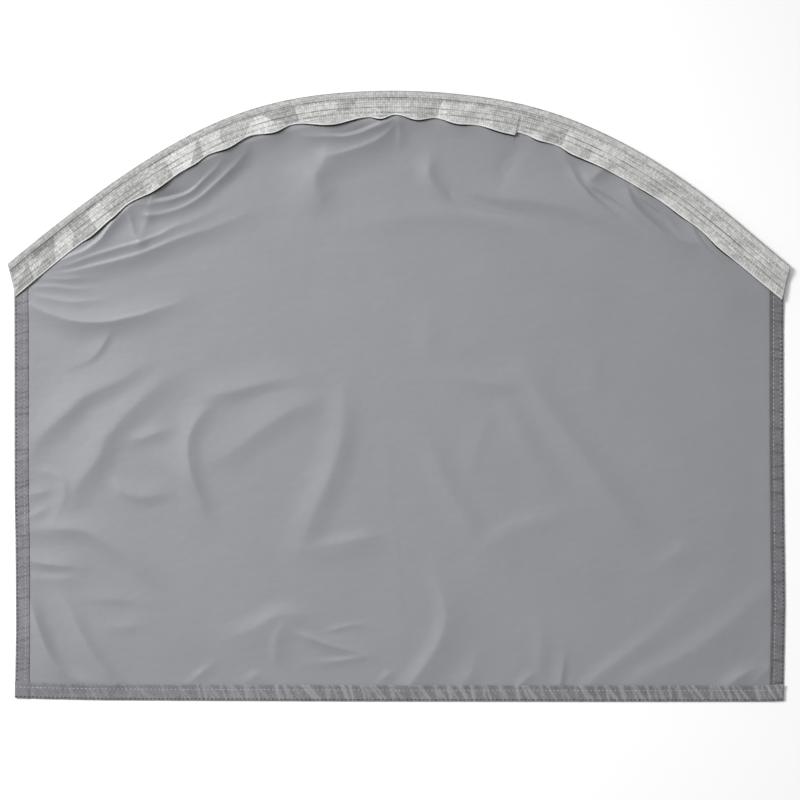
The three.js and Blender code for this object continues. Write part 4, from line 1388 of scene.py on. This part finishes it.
def skew_at(along, inward):
    """The tape's ends are cut in line with the side hems, so they lean back from the bead."""
    lean = TAPE_END_SKEW * inward / TAPE_END_REACH
    left = 1 - smooth(along, 0, TAPE_SKEW_FADE)
    right = smooth(along, ARCH_LENGTH - TAPE_SKEW_FADE, ARCH_LENGTH)
    return lean * (right - left)


def sheet_top(x, y):
    """Height of the cloth's upper side, over the side hems too."""
    inner = HALF_WIDTH - HEM_WIDTH
    hem = smooth(np.abs(x), inner - HEM_CLIMB, inner)
    return sheet_height(x, y) + CLOTH + hem * (2 * HEM_TURN + CLOTH)


def zigzag(run, lean, across, seed):
    """Uneven flat facets with slanting borders, from 0 to 1 in height."""
    chance = np.random.RandomState(seed)
    count = 2 * ARCH_LENGTH // FACET_LENGTH
    borders = np.cumsum(FACET_LENGTH * chance.uniform(*FACET_LENGTHS, count)) - FACET_LENGTH
    heights = (np.arange(count) % 2) * FACET_STEP + chance.uniform(0, FACET_UNEVEN, count)
    return np.interp(run - lean * across, borders, heights)


def reach_at(along):
    """How far in from its outer edge the tape reaches."""
    return eased(SCALLOPS, SCALLOP_COLUMNS, "reach", along)


def stand_at(along):
    """How far the flag's free edge stands off the sheet, in steps of STAND_STEP."""
    return eased(SCALLOPS, SCALLOP_COLUMNS, "stand", along)


def facets_at(along, inward, free):
    """Relief of the flag's facets. free is 1 at its free edge and 0 at its seam."""
    first, second = FACET_SEEDS
    relief = zigzag(along, FACET_LEAN, inward, first) + zigzag(along, -FACET_LEAN, inward, second)
    relief = relief * FACET_HEIGHT / 2 * smooth(inward, SHEET_TOP_INSET, SEAM_INSET)
    return relief * (1 - free * (1 - smooth(along, FLAT_END, 2 * FLAT_END)))


def flag_under(along, share):
    """Places, heights and distances inward of the flag's underside, at shares of its reach."""
    reach = reach_at(along)
    inward = FLAG_ROOT + share * (reach - FLAG_ROOT)
    x, y = on_tape(along + skew_at(along, inward), inward)
    free = smooth(inward, SEAM_INSET - FREE_BEFORE_SEAM, reach)
    stand = STAND_STEP * stand_at(along) * free
    laid = sheet_top(x, y) + TAPE_GAP + stand + facets_at(along, inward, free)
    down = np.where(laid > FLAG_JOINT, SHEET_TOP_INSET, SHEET_TOP_INSET + FLAG_DROP)
    z = FLAG_JOINT + (laid - FLAG_JOINT) * smooth(inward, FLAG_ROOT, down)
    return x, y, z, inward


def tape_underside(along):
    """The flag's underside, and then a strip painted dark as the shadow under the free edge, which
    reaches past it.
    """
    flag = flag_under(along, np.linspace(0, 1, UNDER_POINTS)[None, :])
    past = reach_at(along) + GAP_LEAST + GAP_MORE * smooth(stand_at(along), *GAP_STANDS)
    x, y = on_tape(along + skew_at(along, past), past)
    back = (x, y, sheet_top(x, y) + TAPE_GAP / 2, past)
    return [np.hstack(pair) for pair in zip(flag, back)]


def tape_upper_side(along):
    """The flag's upper side, from its free edge to its root, with its woven grooves."""
    x, y, z, inward = flag_under(along, np.linspace(1, 0, UPPER_POINTS)[None, :])
    groove = sum(np.exp(-((inward - line) / GROOVE_WIDTH) ** 2) for line in WOVEN_LINES)
    return [x, y, z + FLAG_THICKNESS - GROOVE_DEPTH * groove, inward]


def squared(value):
    """A sine or cosine that makes the bead's round a little square."""
    return np.sign(value) * np.abs(value) ** (2 / BEAD_SQUARENESS)


def tape_bead(along):
    """The bead, from the flag's upper side round to its underside."""
    half = BEAD_HEIGHT / 2
    top = (FLAG_JOINT + FLAG_THICKNESS - half) / half
    low = (FLAG_JOINT - half) / half
    start = math.asin(top ** (BEAD_SQUARENESS / 2))
    end = 2 * math.pi + math.asin(low ** (BEAD_SQUARENESS / 2))
    angles = np.linspace(start, end, BEAD_POINTS)[None, 1:-1]
    inward = BEAD_RADIUS * (1 + squared(np.cos(angles))) + 0 * along
    z = half * (1 + squared(np.sin(angles))) + 0 * along
    x, y = on_tape(along + skew_at(along, inward), inward)
    return [x, y, z, inward]


def add_weave_map(tape, share, inward):
    """The tape's own map: the share of its length, and the distance inward in metres."""
    layer = tape.data.uv_layers.new(name="weave")
    corners = np.zeros(len(tape.data.loops), int)
    tape.data.loops.foreach_get("vertex_index", corners)
    weave = np.stack([share.reshape(-1)[corners], inward.reshape(-1)[corners] * MM], axis=-1)
    layer.data.foreach_set("uv", weave.astype(np.float32).ravel())


def make_tape():
    """The tape as one closed tube, whose section goes round from the flag's root underneath."""
    along = np.linspace(0, ARCH_LENGTH, RIB_COUNT * STATIONS_PER_RIB + 1)[:, None]
    sides = [tape_underside(along), tape_upper_side(along), tape_bead(along)]
    x, y, z, inward = [np.hstack(parts) for parts in zip(*sides)]
    points = np.stack([x, y, z], axis=-1).reshape(-1, 3)
    index = np.arange(x.size).reshape(x.shape)
    wrapped = np.hstack([index, index[:, :1]])
    faces = grid_quads(wrapped).reshape(-1, 4)[:, ::-1].tolist()
    faces.append(index[0].tolist())
    faces.append(index[-1][::-1].tolist())
    tape = new_object("tape", points, faces, [ribbed_tape])

    ribbed = np.ones(x.shape)
    ribbed[:, :sides[0][0].shape[1]] = 0
    add_attribute(tape, "along", np.broadcast_to(along * MM, x.shape))
    add_attribute(tape, "ribbed", ribbed)
    add_attribute(tape, "from_edge", (reach_at(along) - inward) * MM)
    add_weave_map(tape, np.broadcast_to(along / ARCH_LENGTH, x.shape), inward)
    return tape


def rib_tree():
    """Raises ribs across the tape from the distance along it."""
    tree, graph, given = geometry_tree("tape_ribs", {"Rib Pitch": "Float", "Rib Height": "Float"})
    named = {"data_type": "FLOAT"}
    along = graph.node("GeometryNodeInputNamedAttribute", named, {"Name": "along"})
    ribbed = graph.node("GeometryNodeInputNamedAttribute", named, {"Name": "ribbed"})
    phase = along / given["Rib Pitch"] * (2 * math.pi)
    height = phase.math("COSINE", phase) * ribbed * given["Rib Height"]
    normal = graph.node("GeometryNodeInputNormal")
    offset = graph.node("ShaderNodeVectorMath", {"operation": "SCALE"},
                        {0: normal, "Scale": height})
    moved = graph.node("GeometryNodeSetPosition", None,
                       {"Geometry": given["Geometry"], "Offset": offset})
    close_tree(graph, moved, ribbed_tape)
    return tree


tape = grow(make_tape(), rib_tree(), {
    "Rib Pitch": ARCH_LENGTH / RIB_COUNT * MM, "Rib Height": RIB_HEIGHT * MM})


# Stitches

def stitch_tree(material):
    """Sews evenly spaced stitches along the lines of an object."""
    tree, graph, given = geometry_tree("stitches_" + material.name, {
        "Pitch": "Float", "Stitch Length": "Float", "Thread Radius": "Float", "Seed": "Int"})
    curve = graph.node("GeometryNodeMeshToCurve", None, {0: given["Geometry"]})
    spaced = graph.node("GeometryNodeResampleCurve", {"mode": "LENGTH"},
                        {"Curve": curve, "Length": given["Pitch"]})
    tangent = graph.node("GeometryNodeInputTangent")
    turned = graph.node("FunctionNodeAlignRotationToVector", {"axis": "X"}, {"Vector": tangent})
    bead = graph.node("GeometryNodeMeshUVSphere", None, {"Segments": 8, "Rings": 5, "Radius": 1})
    # Sockets 2, 3 and the output 1 of a Random Value node are those for a single number
    chance = graph.node("FunctionNodeRandomValue", {"data_type": "FLOAT"},
                        {2: STITCH_SHORTEST, 3: STITCH_LONGEST, "Seed": given["Seed"]}, output=1)
    length = given["Stitch Length"] * 0.5 * chance
    size = graph.vector(length, given["Thread Radius"], given["Thread Radius"])
    placed = graph.node("GeometryNodeInstanceOnPoints", None, {
        "Points": spaced, "Instance": bead, "Rotation": turned, "Scale": size})
    close_tree(graph, placed, material)
    return tree


def sew(name, lines, material, length, radius, seed):
    """Stitches along lines of points in millimetres."""
    mesh = bpy.data.meshes.new(name)
    edges = []
    first = 0
    for line in lines:
        edges.extend((first + step, first + step + 1) for step in range(len(line) - 1))
        first += len(line)
    mesh.from_pydata((np.vstack(lines) * MM).tolist(), edges, [])
    obj = bpy.data.objects.new(name, mesh)
    bpy.context.scene.collection.objects.link(obj)
    return grow(obj, stitch_tree(material), {
        "Pitch": STITCH_PITCH * MM, "Stitch Length": length * MM, "Thread Radius": radius * MM,
        "Seed": seed})


def side_row(hem, side, inward, up, span=SIDE_ROW_SPAN):
    """A line along a side hem for stitches, a little above or below its upper side."""
    y = steps_along(*span)
    angle = np.full(y.shape, math.pi)
    points, _ = side_hem_points(hem, side, y, angle, np.full(y.shape, inward - HEM_TURN))
    points[:, 2] += CLOTH / 2 + up
    return points


def foot_row(hem, inward, up):
    """The same along the foot hem."""
    x = steps_along(-HALF_WIDTH + FOOT_ROW_INSET, HALF_WIDTH - FOOT_ROW_INSET)
    angle = np.full(x.shape, math.pi)
    points, _ = foot_hem_points(hem, x, angle, inward - foot_turn(x))
    points[:, 2] += CLOTH / 2 + up
    return points


def tape_row(inward, up):
    """The same along the tape's flag."""
    along = steps_along(TAPE_ROW_INSET, ARCH_LENGTH - TAPE_ROW_INSET)
    x, y, z, _ = flag_under(along, (inward - FLAG_ROOT) / (reach_at(along) - FLAG_ROOT))
    return np.stack([x, y, z + FLAG_THICKNESS + up], axis=-1)


hem_stitches = sew("hem_stitches", [
    side_row(LEFT_HEM, -1, HEM_STITCH_ROW, up=0.05),
    side_row(RIGHT_HEM, 1, HEM_STITCH_ROW, up=0.1),
    foot_row(FOOT_HEM, FOOT_STITCH_ROW, up=0.05),
    side_row(RIGHT_HEM, 1, SPARE_ROW, up=0.1, span=SPARE_ROW_SPAN),
], pale_thread, length=2.6, radius=0.36, seed=1)
edge_stitches = sew("edge_stitches", [
    side_row(LEFT_HEM, -1, HEM_EDGE_ROW, up=0),
    side_row(RIGHT_HEM, 1, HEM_EDGE_ROW, up=0),
    foot_row(FOOT_HEM, HEM_EDGE_ROW, up=0),
], dark_thread, length=2.5, radius=0.55, seed=2)
tape_stitches = sew("tape_stitches", [
    tape_row(BEAD_STITCH_ROW, up=-0.05),
    tape_row(WOVEN_LINES[1], up=-0.12),
], tape_thread, length=3, radius=0.4, seed=3)


# Each piece goes under the root body, the solids of the panel and the tape are hidden, and the cut's
# length and area are worked out

def flat_area():
    """Area of the sheet's cut, its hem allowances included, in square metres."""
    height = sheet_top_edge(steps_along(-HALF_WIDTH, HALF_WIDTH)) - BOTTOM
    field = np.sum((height[1:] + height[:-1]) / 2) * LINE_STEP
    hems = HEM_WIDTH * (height[0] + height[-1]) + FOOT_HEM_WIDTH * 2 * HALF_WIDTH
    return (field + hems) * MM * MM


hem_pieces = [hem_left, hem_right, hem_foot, hem_stitches, edge_stitches]
for piece in [panel, tape, tape_stitches, *hem_pieces]:
    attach(piece, "root")
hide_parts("panel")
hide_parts("edge_tape")

cut_length = sheet_top_edge(np.array([0.0]))[0] - BOTTOM + FOOT_HEM_WIDTH
flat_area()
